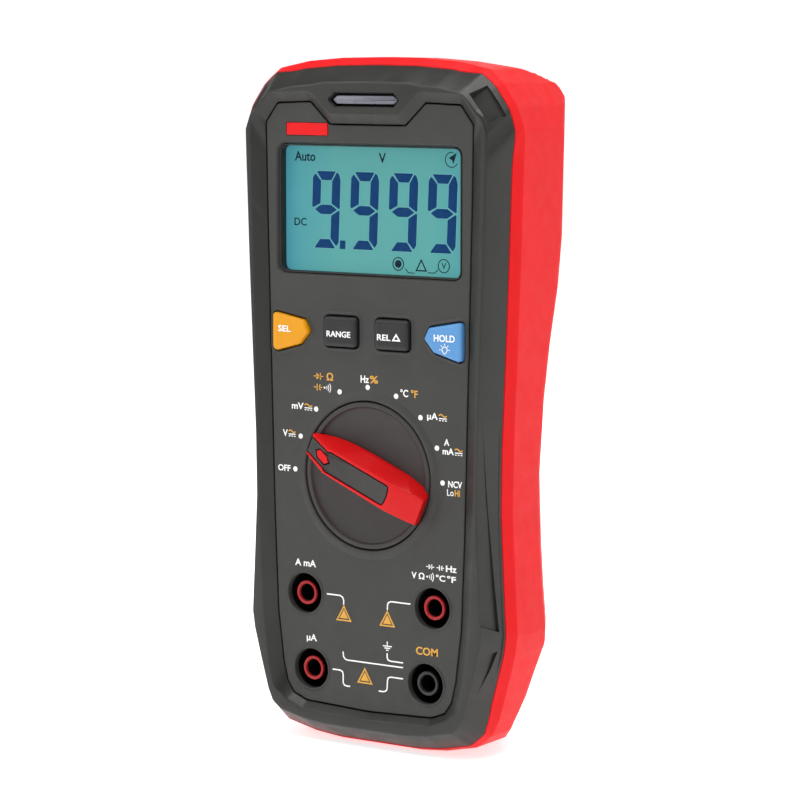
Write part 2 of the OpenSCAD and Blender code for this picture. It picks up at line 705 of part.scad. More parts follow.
module battery_cover() {
  set_in() color(dark) difference() {
    union() {
      slab(cavity_back, back_in - 0.1) translate([-18, -17]) square([36, 68]);
      slab(cavity_back - 1.4, cavity_back - 0.05) translate([-9, 49.8]) square([18, 2.5]);
      slab(cavity_back - 0.1, cavity_back + eps) translate([-9, 49.8]) square([18, 1.1]);
    }
    rod(0, tray_low - 4.4, 20, 40, 1.05);
    rod(0, tray_low - 4.4, cavity_back + 0.78, 40, 2);
    for (k = [0 : 3]) slab(back_in - 0.8, case_depth) translate([-8, 36 + k * 3]) square([16, 1]);
  }
}

module cover_screw() {
  set_in() color(steel) screw(0, tray_low - 4.4, cavity_back + 0.8, 6, 1);
}

module case_screws() {
  set_in() color(steel) for (s = [-1, 1]) {
    screw(s * 12, -59.4, case_depth - 6, 17.6, 0.98);
    screw(s * 30, 88, case_depth - 6, 17.6, 0.98);
  }
}

module tilt_stand() {
  set_in() color(dark) difference() {
    union() {
      slab(hinge_y + 2.2 - stand_t, hinge_y + 2.2) translate([-stand_half, hinge_up - stand_len])
        square([2 * stand_half, stand_len]);
      translate([0, hinge_y, hinge_up]) rotate([0, 90, 0]) cylinder(h = 2 * stand_half, r = barrel_r,
        center = true);
      translate([0, hinge_y, hinge_up]) rotate([0, 90, 0]) cylinder(h = 2 * stand_half + 5, r = pin_r,
        center = true);
      slab(hinge_y + 2.2 - stand_t, hinge_y + 2.2) translate([-7.6, hinge_up - stand_len - 5])
        square([15.2, 6]);
    }
    slab(hinge_y + 1.4, case_depth + 1) rounded(-14, 14, hinge_up - stand_len + 24, hinge_up - 12, 3);
  }
}

front_panel();
front_bezel();
rear_shell();
light_pipe();
badge_plate();
lcd_window();
lcd_glass();
lcd_backlight();
lcd_holder();
zebra_strip();
knob_dial();
knob_bar();
knob_inlay();
knob_mark();
knob_oring();
knob_rotor();
knob_wipers();
knob_clip();
detent_balls();
detent_springs();
detent_ring();
key_select();
key_range();
key_relative();
key_hold();
key_mat();
jack_wells();
jack_sleeves_red();
jack_sleeve_dark();
jack_contacts();
jack_tags();
main_pcb();
switch_pads();
indicator_led();
main_chip();
side_chips();
crystal();
radio_module();
buzzer();
ptc_disc();
varistors();
shunt_wire();
fuse_clips();
fuse_body();
fuse_caps();
field_sensor();
pcb_screws();
case_seal();
battery_tray();
battery_cells();
battery_contacts();
battery_springs();
battery_leads();
battery_cover();
cover_screw();
case_screws();
tilt_stand();
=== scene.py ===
"""Looks of the handheld multimeter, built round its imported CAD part.

Lengths in this file are millimetres from the dial centre on the printed panel: X right, Y into the case,
Z up. place() turns them into the row frame in metres.
"""

import json
import math

import bmesh
import bpy
import numpy as np
from mathutils import Matrix, Vector


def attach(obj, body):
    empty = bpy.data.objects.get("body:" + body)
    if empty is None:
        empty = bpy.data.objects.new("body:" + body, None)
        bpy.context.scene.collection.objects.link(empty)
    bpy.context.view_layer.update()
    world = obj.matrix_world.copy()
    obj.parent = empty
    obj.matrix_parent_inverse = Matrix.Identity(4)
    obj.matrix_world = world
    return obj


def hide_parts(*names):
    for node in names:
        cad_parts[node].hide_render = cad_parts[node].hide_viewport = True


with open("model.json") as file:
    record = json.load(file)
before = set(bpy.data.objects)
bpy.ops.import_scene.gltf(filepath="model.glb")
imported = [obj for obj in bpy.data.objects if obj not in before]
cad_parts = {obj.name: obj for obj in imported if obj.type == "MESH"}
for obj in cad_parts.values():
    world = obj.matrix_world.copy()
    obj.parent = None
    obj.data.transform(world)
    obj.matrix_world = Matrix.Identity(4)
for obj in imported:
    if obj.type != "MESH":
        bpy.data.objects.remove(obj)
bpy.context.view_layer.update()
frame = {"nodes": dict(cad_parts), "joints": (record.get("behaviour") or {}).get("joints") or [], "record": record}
MM = 0.001
DIAL = next(j for j in frame["joints"] if j["name"] == "dial_turn")["pos_m"]
TO_ROW = Matrix.Translation(DIAL) @ Matrix.Scale(MM, 4)
DIAL_ANGLE = -67.5  # the drawn position, one step from OFF
DIAL_STEP = 22.5
CASE_DEPTH, SEAM_DEPTH, CREASE_DEPTH = 32.0, 4.5, 7.0
RIDGE_RISE, RIDGE_INSET, SEAM_INSET = 1.95, 5.2, 1.9
SHELL_WALL = 2.3
CREASE = 32  # degrees between faces that shade as a crease
TOP, BOTTOM = 102.3, -68.5
HANDLE_TOP, KEY_TOP = -5.6, -1.25
HINGE = 57.5
STAND_LOW = HINGE - 79
RAY_CENTRE, RAY_LENGTH = np.array([0.0, 17.0]), 130.0

# ---- outlines


def mirrored(half):
    """Closed outline from a right half given from top to bottom."""
    return half + [(-x, z) for x, z in reversed(half)]


CASE_HALF = [
    (0.01, TOP), (12, TOP - 0.2), (22, TOP - 1), (30.6, TOP - 2.7), (34.7, TOP - 6.2), (38.6, TOP - 11.6),
    (40.6, TOP - 17.2), (39.6, 52), (38.7, 28), (37.9, 9), (37.7, -7), (38.5, -24), (39.2, -37), (38.5, -42),
    (36.4, -50), (34.2, -57.9), (32.2, -62.5), (27.8, -65.9), (19.2, -67.8), (12, BOTTOM), (0.01, BOTTOM),
]
PANEL_HALF = [
    (11, 86.1), (16.8, 91.6), (27, 91.2), (30.6, 86.4), (30.3, 68), (29.3, 25), (28.4, -13), (27.5, -36),
    (25.9, -49), (24.7, -54), (22.7, -57), (18.7, -58.6), (0.01, -59.3),
]
# Height, and how far the line across the side may reach there: the side scoops
SCOOP = [
    (110, 48.4), (93, 47.8), (59, 47.2), (47, 46.3), (33, 44.4), (19, 43), (0, 42), (-17, 42.5), (-28, 43.1),
    (-37, 43.8), (-41, 43.6), (-47, 41.4), (-54, 39.1), (-60, 36.4), (-72, 31.5),
]
CORNER_KEY = [(17, 34.8), (18.4, 37.6), (27.2, 39.2), (28, 38.8), (28, 30.4), (27, 29.6), (19.8, 31.6)]
SQUARE_KEY = [(2.68, 31.45), (2.68, 38.95), (12.52, 38.95), (12.52, 31.45)]
CORNER_RADIUS, SQUARE_RADIUS = 0.9, 1.2
JACKS = [(-19.05, -31.14), (19.05, -31.14), (-17.09, -50.12), (17.09, -50.12)]


def flipped(points):
    return [(-x, z) for x, z in points]


def rectangle(x0, x1, z0, z1):
    return [(x0, z0), (x0, z1), (x1, z1), (x1, z0)]


def circle(cx, cz, r, n):
    turns = [2 * math.pi * k / n for k in range(n)]
    return [(cx + r * math.cos(t), cz + r * math.sin(t)) for t in turns]


def rounded(points, radius, steps=5):
    """Corners of a closed outline turned into short arcs."""
    out = []
    for k, p in enumerate(points):
        p, a, b = (np.array(q, float) for q in (p, points[k - 1], points[(k + 1) % len(points)]))
        u, v = a - p, b - p
        lu, lv = np.linalg.norm(u), np.linalg.norm(v)
        half = math.acos(max(-1, min(1, u @ v / lu / lv))) / 2
        t = min(radius / max(math.tan(half), 1e-3), 0.45 * lu, 0.45 * lv)
        a, b = p + u / lu * t, p + v / lv * t
        for i in range(steps + 1):
            s = i / steps
            out.append(tuple((1 - s) ** 2 * a + 2 * s * (1 - s) * p + s * s * b))
    return out


def grown(points, d):
    """Closed outline moved outwards by d, corners mitred."""
    p = np.array(points, float)
    before, after = np.roll(p, 1, 0), np.roll(p, -1, 0)
    area = np.sum(before[:, 0] * p[:, 1] - p[:, 0] * before[:, 1])
    sign = 1 if area > 0 else -1

    def normals(e):
        e = e / np.maximum(np.linalg.norm(e, axis=1), 1e-9)[:, None]
        return sign * np.stack([e[:, 1], -e[:, 0]], 1)

    n1, n2 = normals(p - before), normals(after - p)
    m = n1 + n2
    m = m / np.maximum(np.linalg.norm(m, axis=1), 1e-9)[:, None]
    return [tuple(q) for q in p + m * (d / np.maximum((m * n1).sum(1), 0.35))[:, None]]


def dense(points, step):
    """Closed outline with extra points on its long edges."""
    out = []
    for k, p in enumerate(points):
        p, q = np.array(p, float), np.array(points[(k + 1) % len(points)], float)
        n = max(1, int(math.ceil(np.linalg.norm(q - p) / step)))
        out += [tuple(p + (q - p) * i / n) for i in range(n)]
    return out


CASE = rounded(mirrored(CASE_HALF), 2.4, 3)
PANEL = rounded(mirrored(PANEL_HALF), 1.3, 4)
CASE_ARRAY, PANEL_ARRAY = np.array(CASE), np.array(PANEL)


def depth_inside(points, outline):
    """Distance of each point from a closed outline, positive inside."""
    a, b = outline, np.roll(outline, -1, 0)
    p = points[:, None, :]
    ab = b - a
    t = np.clip(((p - a) * ab).sum(-1) / np.maximum((ab * ab).sum(-1), 1e-12), 0, 1)
    dist = np.linalg.norm(p - (a + t[..., None] * ab), axis=-1).min(1)
    crosses = (a[:, 1] > p[..., 1]) != (b[:, 1] > p[..., 1])
    rise = np.where(np.abs(b[:, 1] - a[:, 1]) < 1e-12, 1e-12, b[:, 1] - a[:, 1])
    x = a[:, 0] + (p[..., 1] - a[:, 1]) / rise * ab[:, 0]
    inside = (crosses & (p[..., 0] < x)).sum(1) % 2 == 1
    return np.where(inside, dist, -dist)


def rays(outlines, step):
    """Directions from the ray centre through every point of the outlines, in order of angle."""
    pts = np.array([q for o in outlines for q in dense(o, step)]) - RAY_CENTRE
    angles = np.sort(np.arctan2(pts[:, 1], pts[:, 0]))
    keep = np.concatenate([[True], np.diff(angles) > 0.0009])
    angles = angles[keep]
    return np.stack([np.cos(angles), np.sin(angles)], 1)


def reach(directions, value):
    """How far each ray goes before value(points) turns negative."""
    low, high = np.zeros(len(directions)), np.full(len(directions), RAY_LENGTH)
    for _ in range(24):
        middle = (low + high) / 2
        ok = value(RAY_CENTRE + directions * middle[:, None]) >= 0
        low, high = np.where(ok, middle, low), np.where(ok, high, middle)
    return low


def smooth(x, a, b):
    """A soft step from 0 at a to 1 at b."""
    t = np.clip((x - a) / (b - a), 0, 1)
    return t * t * (3 - 2 * t)


def seam_share(directions):
    """How far the seam moves out: nearly half at the upper corners and along the foot, 0 elsewhere."""
    r = reach(directions, lambda p: depth_inside(p, CASE_ARRAY))
    at = RAY_CENTRE + directions * r[:, None]
    corner = smooth(np.abs(at[:, 0]), 24, 33) * smooth(at[:, 1], 78, 90)
    return 0.47 * corner + 0.5 * smooth(-at[:, 1], 56, 66)


# ---- meshes in millimetres


def raw(name, verts, faces):
    mesh = bpy.data.meshes.new(name)
    mesh.from_pydata([tuple(map(float, v)) for v in verts], [], faces)
    mesh.update()
    ob = bpy.data.objects.new(name, mesh)
    bpy.context.scene.collection.objects.link(ob)
    return ob


def loft(name, rows, ring=False):
    """A mesh that joins rows of equally many points, each row a closed loop."""
    n = len(rows[0])
    verts = [tuple(p) for row in rows for p in row]
    pairs = [(i, i + 1) for i in range(len(rows) - 1)] + ([(len(rows) - 1, 0)] if ring else [])
    faces = [
        (a * n + k, a * n + (k + 1) % n, b * n + (k + 1) % n, b * n + k)
        for a, b in pairs for k in range(n)
    ]
    if not ring:
        faces.append(tuple(reversed(range(n))))
        faces.append(tuple(range((len(rows) - 1) * n, len(rows) * n)))
    return fix_normals(raw(name, verts, faces))


def fix_normals(ob):
    bm = bmesh.new()
    bm.from_mesh(ob.data)
    bmesh.ops.recalc_face_normals(bm, faces=bm.faces)
    bm.to_mesh(ob.data)
    bm.free()
    return ob


def flat_row(outline, y):
    return [(x, y, z) for x, z in outline]


def layered(name, outline, steps):
    """A solid from an outline: steps are (depth, how far the outline is moved out)."""
    return loft(name, [flat_row(grown(outline, d), y) for y, d in steps])


def cushion(name, corners, radius, steps):
    """Like layered, but the corners keep a fair radius at every depth."""
    return loft(name, [flat_row(rounded(grown(corners, d), max(radius + d, 0.15)), y) for y, d in steps])


def turned(name, profile, cx=0.0, cz=0.0, n=72, ring=True):
    """A body of revolution about a Y axis through (cx, cz); profile is (radius, depth)."""
    return loft(name, [flat_row(circle(cx, cz, r, n), y) for r, y in profile], ring)


def join(name, parts):
    """One mesh from several."""
    verts, faces = [], []
    for ob in parts:
        base = len(verts)
        verts += [tuple(v.co) for v in ob.data.vertices]
        faces += [tuple(base + i for i in p.vertices) for p in ob.data.polygons]
        bpy.data.objects.remove(ob)
    return raw(name, verts, faces)


def applied(ob):
    """The object with its modifiers' result as its mesh."""
    graph = bpy.context.evaluated_depsgraph_get()
    mesh = bpy.data.meshes.new_from_object(ob.evaluated_get(graph))
    old = ob.data
    ob.modifiers.clear()
    ob.data = mesh
    bpy.data.meshes.remove(old)
    return ob


def cut(ob, *cutters, operation="DIFFERENCE"):
    """Booleans, done in millimetres so that nothing is near the solver's threshold."""
    for c in cutters:
        m = ob.modifiers.new("cut", "BOOLEAN")
        m.object, m.operation, m.solver = c, operation, "EXACT"
    applied(ob)
    for c in cutters:
        bpy.data.objects.remove(c)
    return ob


def bevelled(ob, width, segments, angle):
    m = ob.modifiers.new("bevel", "BEVEL")
    m.width, m.segments, m.limit_method = width, segments, "ANGLE"
    m.angle_limit, m.use_clamp_overlap = math.radians(angle), True
    return applied(ob)


def finished(ob, material, angle):
    """One material, and smooth shading with creases above the angle in degrees."""
    ob.data.materials.clear()
    ob.data.materials.append(material)
    ob.data.shade_smooth()
    ob.data.set_sharp_from_angle(angle=math.radians(angle))


def place(ob, name, body, slot, stands_for=(), angle=CREASE, material=None):
    """Puts a millimetre mesh in the row frame and hands it to its CAD body."""
    ob.name = name
    ob.data.name = name
    ob.data.transform(TO_ROW)
    finished(ob, material or M[slot], angle)
    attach(ob, body)
    if stands_for:
        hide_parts(*stands_for)
    return ob


def spun(ob):
    """Turns a piece drawn pointing up to the dial's drawn position."""
    ob.data.transform(Matrix.Rotation(math.radians(DIAL_ANGLE), 4, "Y"))
    return ob


# ---- materials


def rgb(r, g, b):
    """A linear colour from sRGB values of 0 to 255."""
    return tuple(((c / 255 + 0.055) / 1.055) ** 2.4 if c > 10 else c / 3294 for c in (r, g, b)) + (1.0,)


def multiplied(nt, first, second, factor=1.0):
    """A node that multiplies two colours; the second is a socket or a plain colour."""
    mix = nt.nodes.new("ShaderNodeMixRGB")
    mix.blend_type = "MULTIPLY"
    mix.inputs["Fac"].default_value = factor
    nt.links.new(first, mix.inputs["Color1"])
    if isinstance(second, tuple):
        mix.inputs["Color2"].default_value = second
    else:
        nt.links.new(second, mix.inputs["Color2"])
    return mix.outputs["Color"]


def grained(name, colour, rough=0.45, grain=0.35, bump=0.06, shift=0.06, metal=0.0, specular=0.5,
            coat=0.0, painted_edge_highlight=0.0, glow=None, glow_strength=0.0, mottle=9.0):
    """Moulded or metal surface: fine grain in the bump, slow drift in colour, and a painted highlight along its
    edges.
    """
    mat = bpy.data.materials.new(name)
    mat.use_nodes = True
    nt = mat.node_tree
    bsdf = nt.nodes["Principled BSDF"]
    coord = nt.nodes.new("ShaderNodeTexCoord")

    def noise(size_mm, detail, roughness=0.5):
        n = nt.nodes.new("ShaderNodeTexNoise")
        n.inputs["Scale"].default_value = 1 / (size_mm * MM)
        n.inputs["Detail"].default_value = detail
        n.inputs["Roughness"].default_value = roughness
        nt.links.new(coord.outputs["Object"], n.inputs["Vector"])
        return n

    def ramp(source, low, high, p0=0.3, p1=0.7):
        r = nt.nodes.new("ShaderNodeValToRGB")
        r.color_ramp.elements[0].position, r.color_ramp.elements[1].position = p0, p1
        r.color_ramp.elements[0].color, r.color_ramp.elements[1].color = low, high
        nt.links.new(source, r.inputs["Fac"])
        return r

    def scaled(c, f):
        return tuple(min(1, v * f) for v in c[:3]) + (1.0,)

    slow, fine = noise(mottle, 3), noise(grain, 2)
    tone = ramp(slow.outputs["Fac"], scaled(colour, 1 - shift), scaled(colour, 1 + shift))
    tiny = ramp(fine.outputs["Fac"], (1 - shift * 1.2,) * 3 + (1,), (1, 1, 1, 1))
    last = multiplied(nt, tone.outputs["Color"], tiny.outputs["Color"], 0.5)
    # Painted highlight: edges picked out by pointiness are lightened in the colour, standing in for highlight
    # lines along creases.
    if painted_edge_highlight:
        geo = nt.nodes.new("ShaderNodeNewGeometry")
        edge = ramp(geo.outputs["Pointiness"], (0, 0, 0, 1), (1, 1, 1, 1), 0.52, 0.60)
        blend = nt.nodes.new("ShaderNodeMixRGB")
        nt.links.new(last, blend.inputs["Color1"])
        blend.inputs["Color2"].default_value = scaled(colour, 1 + painted_edge_highlight)
        nt.links.new(edge.outputs["Color"], blend.inputs["Fac"])
        last = blend.outputs["Color"]
    nt.links.new(last, bsdf.inputs["Base Color"])
    worn = ramp(noise(mottle * 0.37, 4).outputs["Fac"], (rough * 0.86,) * 3 + (1,),
                (min(1, rough * 1.14),) * 3 + (1,))
    nt.links.new(worn.outputs["Color"], bsdf.inputs["Roughness"])
    b = nt.nodes.new("ShaderNodeBump")
    b.inputs["Strength"].default_value = min(1.0, bump * 6)
    b.inputs["Distance"].default_value = bump * MM
    nt.links.new(fine.outputs["Fac"], b.inputs["Height"])
    nt.links.new(b.outputs["Normal"], bsdf.inputs["Normal"])
    bsdf.inputs["Metallic"].default_value = metal
    bsdf.inputs["Specular IOR Level"].default_value = specular
    bsdf.inputs["Coat Weight"].default_value = coat
    bsdf.inputs["Coat Roughness"].default_value = 0.2
    if glow:
        bsdf.inputs["Emission Color"].default_value = glow
        bsdf.inputs["Emission Strength"].default_value = glow_strength
    return mat


def display_material():
    """Display: pale teal from a painted glow standing in for the light on it, brighter in the middle, with painted
    shade along its top and sides.
    """
    mat = grained("display_teal", rgb(30, 60, 60), rough=0.4, specular=0.1, grain=0.6, bump=0.01, shift=0.03)
    nt = mat.node_tree
    bsdf = nt.nodes["Principled BSDF"]
    coord = nt.nodes.new("ShaderNodeTexCoord")
    split = nt.nodes.new("ShaderNodeSeparateXYZ")
    nt.links.new(coord.outputs["Generated"], split.inputs["Vector"])

    def band(axis, stops):
        r = nt.nodes.new("ShaderNodeValToRGB")
        els = r.color_ramp.elements
        while len(els) < len(stops):
            els.new(0.5)
        for e, (p, v) in zip(els, stops):
            e.position, e.color = p, (v if isinstance(v, tuple) else (v, v, v)) + (1,)
        nt.links.new(split.outputs[axis], r.inputs["Fac"])
        return r

    # Painted shade: the glow is darker and bluer towards the left and right edges.
    across = band("X", [(0.0, (0.42, 0.66, 0.92)), (0.1, (0.72, 0.88, 1.02)), (0.3, 1.0), (0.8, 1.0),
                        (0.95, (0.8, 0.92, 1.02)), (1.0, (0.5, 0.7, 0.9))])
    # Painted shade: the glow is dimmer along the top, where the window edge shades the display.
    up = band("Z", [(0.0, 0.9), (0.12, 1.0), (0.6, 1.0), (0.9, 0.9), (1.0, 0.66)])
    light = multiplied(nt, across.outputs["Color"], up.outputs["Color"])
    # Painted glow: this emission stands in for the light falling on the display.
    nt.links.new(multiplied(nt, light, rgb(97, 174, 172)), bsdf.inputs["Emission Color"])
    bsdf.inputs["Emission Strength"].default_value = 0.9
    return mat


def clear_material(name, alpha, rough):
    mat = grained(name, rgb(40, 60, 62), rough=rough, grain=2, bump=0.002, shift=0.02, specular=0.2)
    mat.node_tree.nodes["Principled BSDF"].inputs["Alpha"].default_value = alpha
    mat.surface_render_method = "BLENDED"
    return mat


SATIN = dict(rough=0.42, specular=0.3, grain=0.4, bump=0.02)
DIPPED = dict(rough=0.35, grain=0.6, bump=0.02)
PRINT = dict(rough=0.55, grain=0.2, bump=0.01, shift=0.03)
SHOWN = dict(rough=0.5, specular=0.1, grain=0.3, bump=0.005)
M = {
    "panel_plastic": grained("panel_satin_grey", rgb(57, 57, 55), rough=0.55, specular=0.28, grain=0.28,
                             bump=0.03, shift=0.05),
    "front_rubber": grained("front_elastomer", rgb(38, 38, 35), rough=0.4, specular=0.38, grain=0.4,
                            bump=0.035, shift=0.06, painted_edge_highlight=0.25),
    "red_shell": grained("red_moulding", rgb(212, 13, 19), rough=0.5, specular=0.2, grain=0.5, bump=0.03,
                         shift=0.03, painted_edge_highlight=0.12),
    "red_gloss": grained("red_handle", rgb(196, 4, 9), rough=0.42, specular=0.24, grain=0.4, bump=0.02,
                         shift=0.03, painted_edge_highlight=0.2),
    "lens_grey": grained("indicator_lens", rgb(112, 112, 124), rough=0.3, specular=0.3, grain=0.5,
                         bump=0.02, shift=0.05, coat=0.4),
    "window_clear": clear_material("display_window", 0.05, 0.1),
    "lcd": display_material(),
    "light_white": grained("light_guide", rgb(236, 240, 240), rough=0.3, grain=0.6, bump=0.01),
    "dark_plastic": grained("dark_satin", rgb(54, 52, 51), rough=0.5, specular=0.3, grain=0.3, bump=0.04,
                            shift=0.06, painted_edge_highlight=0.3),
    "key_orange": grained("key_orange", rgb(214, 144, 4), shift=0.03, **SATIN),
    "key_blue": grained("key_blue", rgb(84, 140, 194), shift=0.03, **SATIN),
    "key_dark": grained("key_dark", rgb(36, 36, 37), rough=0.45, specular=0.3, grain=0.35, bump=0.03,
                        shift=0.05, painted_edge_highlight=0.3),
    "black_plastic": grained("well_black", rgb(8, 8, 8), rough=0.6, specular=0.15, grain=0.4, bump=0.02),
    "sleeve_red": grained("sleeve_red", rgb(158, 26, 30), shift=0.05, **SATIN),
    "sleeve_dark": grained("sleeve_dark", rgb(46, 46, 46), shift=0.05, **SATIN),
    "white_plastic": grained("white_moulding", rgb(226, 226, 216), rough=0.45, grain=0.5, bump=0.02),
    "brass": grained("turned_brass", rgb(206, 166, 92), rough=0.3, grain=0.3, bump=0.01, metal=1.0),
    "gold_pads": grained("gold_plate", rgb(232, 188, 86), rough=0.25, grain=0.2, bump=0.01, metal=1.0),
    "steel": grained("zinc_plated_steel", rgb(188, 190, 194), rough=0.32, grain=0.25, bump=0.015, metal=1.0),
    "board_green": grained("solder_mask", rgb(20, 92, 50), rough=0.35, grain=0.8, bump=0.02, coat=0.3),
    "silicone": grained("silicone_sheet", rgb(200, 200, 192), rough=0.6, grain=0.5, bump=0.03),
    "black_rubber": grained("seal_rubber", rgb(22, 22, 22), rough=0.6, grain=0.4, bump=0.03),
    "pink_rubber": grained("layered_silicone", rgb(226, 152, 160), rough=0.6, grain=0.3, bump=0.03),
    "ceramic": grained("fuse_ceramic", rgb(236, 232, 220), rough=0.25, grain=0.8, bump=0.01, coat=0.3),
    "copper": grained("bare_copper", rgb(204, 128, 86), rough=0.32, grain=0.3, bump=0.01, metal=1.0),
    "component_orange": grained("dipped_orange", rgb(214, 130, 36), **DIPPED),
    "component_blue": grained("dipped_blue", rgb(24, 58, 150), **DIPPED),
    "cell_wrap": grained("cell_sleeve", rgb(196, 150, 46), rough=0.3, grain=0.6, bump=0.01, coat=0.3),
    "lead_red": grained("lead_insulation", rgb(196, 22, 24), rough=0.45, grain=0.3, bump=0.02),
}
INK_WHITE = grained("ink_white", rgb(236, 236, 236), **PRINT)
INK_ORANGE = grained("ink_orange", rgb(208, 152, 50), **PRINT)
# Dark blue figures, with a faint painted glow added in their colour.
LCD_INK_AND_PAINTED_GLOW = grained("display_ink", rgb(0, 44, 90), shift=0.04, glow=rgb(0, 58, 112), glow_strength=0.3, **SHOWN)
INK_THIN = grained("display_ink_small", rgb(4, 30, 44), shift=0.04, **SHOWN)
# Painted highlight: a bright glowing rim round each figure, set just behind it.
PAINTED_HALO = grained("display_halo", rgb(40, 70, 70), shift=0.03, glow=rgb(118, 192, 192), glow_strength=0.85,
                   **SHOWN)

# ---- dark front


def bezel():
    """The dark front: an inner slope, a soft ridge and a steep outer facet all round the panel."""
    d = rays([PANEL, CASE], 1.4)

    def past_panel(distance):
        return reach(d, lambda p: depth_inside(p, PANEL_ARRAY) + distance)

    def inside_case(distance):
        return reach(d, lambda p: depth_inside(p, CASE_ARRAY) - distance)

    inner = past_panel(0)
    z = (RAY_CENTRE + d * inner[:, None])[:, 1]
    slope = past_panel(3.3 - 0.9 * smooth(z, 78, 86) - 1.7 * smooth(-z, 50, 57.5))
    flange = past_panel(2.75)
    ridge = np.maximum(inside_case(RIDGE_INSET + 1.0 * smooth(z, 80, 90)), slope + 0.5)
    outer = inside_case(SEAM_INSET * (1 - seam_share(d)))
    under = np.maximum(inside_case(4.2), flange + 0.3)
    profile = [
        (inner, 1.0), (inner, 0.05), (slope, -1.85), (ridge, -RIDGE_RISE), (outer, SEAM_DEPTH - 0.05),
        (under, SEAM_DEPTH), (flange, 1.1),
    ]
    softness = {1: 0.2, 2: 0.2, 3: 0.4, 4: 0.22}  # how far each corner's arc reaches
    rows = []
    for k, (r, y) in enumerate(profile):
        y = np.full(len(d), float(y))
        if k not in softness:
            rows.append((r, y))
            continue
        (ra, ya), (rb, yb) = profile[k - 1], profile[k + 1]
        la, lb = np.hypot(ra - r, ya - y), np.hypot(rb - r, yb - y)
        ta, tb = np.minimum(softness[k] / la, 0.45), np.minimum(softness[k] / lb, 0.45)
        a, b = (r + (ra - r) * ta, y + (ya - y) * ta), (r + (rb - r) * tb, y + (yb - y) * tb)
        for s in (0, 0.33, 0.67, 1):
            w = ((1 - s) ** 2, 2 * s * (1 - s), s * s)
            rows.append((w[0] * a[0] + w[1] * r + w[2] * b[0], w[0] * a[1] + w[1] * y + w[2] * b[1]))
    loops = []
    for r, y in rows:
        p = RAY_CENTRE + d * r[:, None]
        loops.append([(q[0], yy, q[1]) for q, yy in zip(p, y)])
    return loft("front_bezel_skin", loops, ring=True)


def half_width(z):
    """Half the width of the case at a height."""
    pts = sorted([p for p in CASE_HALF if p[0] > 30], key=lambda p: p[1])
    return float(np.interp(z, [p[1] for p in pts], [p[0] for p in pts]))


def facet_point(z, s, out=0.0, side=1):
    """A point on the side facet of the front: s 0 at the ridge, 1 at the seam, out above the surface."""
    x0, x1 = half_width(z) - RIDGE_INSET, half_width(z) - SEAM_INSET
    y0, y1 = -RIDGE_RISE, SEAM_DEPTH
    nx, ny = (y1 - y0), -(x1 - x0)
    length = math.hypot(nx, ny)
    x = x0 + (x1 - x0) * s + nx / length * out
    return (side * x, y0 + (y1 - y0) * s + ny / length * out, z)


def grip_cutter(side, stations):
    """Wedge-shaped grip recess: stations are (height, inner and outer place on the facet, depth, slant)."""
    clear, draft = 1.2, 0.03
    rows = []
    for z, s0, s1, deep, slant in stations:
        corners = ((s0, clear), (s1, clear), (s1 - draft, -deep), (s0 + draft, -deep))
        rows.append([facet_point(z + slant * (s - s0), s, out, side) for s, out in corners])
    return loft("cutter", rows)


def corner_cutter(side):
    """Slot across the upper corner facet of the front, deep at its inner end."""
    along, outward = np.array([0.586, 0, -0.811]), np.array([0.811, 0, 0.586])
    across = outward * 4.3 + np.array([0, 6.1, 0])
    across /= np.linalg.norm(across)
    up = np.cross(along, across)
    if up[1] > 0:
        up = -up
    corner, case_inset, depth = np.array([36.62, 0, 93.43]), 4.0, 1.35
    centre = corner - outward * case_inset
    centre[1] = depth
    levels = (  # lift at the inner and the outer edge, half length, half width
        (1.5, 1.5, 4.7, 2.8), (0, 0, 4.4, 2.55), (-1.7, -0.35, 3.9, 2.2),
    )
    rows = []
    for inner_lift, outer_lift, a, b in levels:
        row = []
        for i, j in ((-1, -1), (1, -1), (1, 1), (-1, 1)):
            row.append(centre + along * a * i + across * b * j + up * (inner_lift if j < 0 else outer_lift))
        rows.append([(side * q[0], q[1], q[2]) for q in row])
    return loft("cutter", rows)


UPPER_GRIP = [
    (16, 0.1, 0.22, 0.01, 0), (8, 0.07, 0.34, 0.1, 0), (-4, 0.04, 0.48, 0.26, 0), (-14, 0.02, 0.58, 0.42, 0),
    (-24, 0.01, 0.66, 0.76, 0), (-33.8, 0.0, 0.76, 1.0, -2.4),
]
LOWER_GRIP = [
    (-41.3, 0.08, 0.76, 0.95, 1.4), (-45, 0.06, 0.62, 0.66, 0), (-49, 0.04, 0.44, 0.24, 0),
    (-53, 0.02, 0.22, 0.02, 0),
]


def indicator_outline(g):
    """The pointed lens opening, grown by g."""
    return [(-10.2 - g, 92.0), (-8.6 - g * 0.6, 93.6 + g), (8.6 + g * 0.6, 93.6 + g), (10.2 + g, 92.0),
            (8.6 + g * 0.6, 90.4 - g), (-8.6 - g * 0.6, 90.4 - g)]


def front():
    cutters = []
    for side in (-1, 1):
        cutters += [grip_cutter(side, UPPER_GRIP), grip_cutter(side, LOWER_GRIP), corner_cutter(side)]
    cutters.append(layered("cutter", rounded(indicator_outline(0), 0.3, 2),
                           [(-3, 0.35), (-1.65, 0.25), (-1.2, 0), (2.5, -0.25)]))
    place(cut(bezel(), *cutters), "bezel_front", "case", "front_rubber", ["front_bezel"], 24)


front()


# ---- printed panel


KEYS = {  # key: its slot, corners and corner radius
    "select": ("key_orange", flipped(CORNER_KEY), CORNER_RADIUS),
    "range": ("key_dark", flipped(SQUARE_KEY), SQUARE_RADIUS),
    "relative": ("key_dark", SQUARE_KEY, SQUARE_RADIUS),
    "hold": ("key_blue", CORNER_KEY, CORNER_RADIUS),
}
KEY_OUTLINES = [rounded(corners, radius) for _, corners, radius in KEYS.values()]
WINDOW = rounded(rectangle(-26.8, 26.8, 49.2, 81), 2.4, 6)


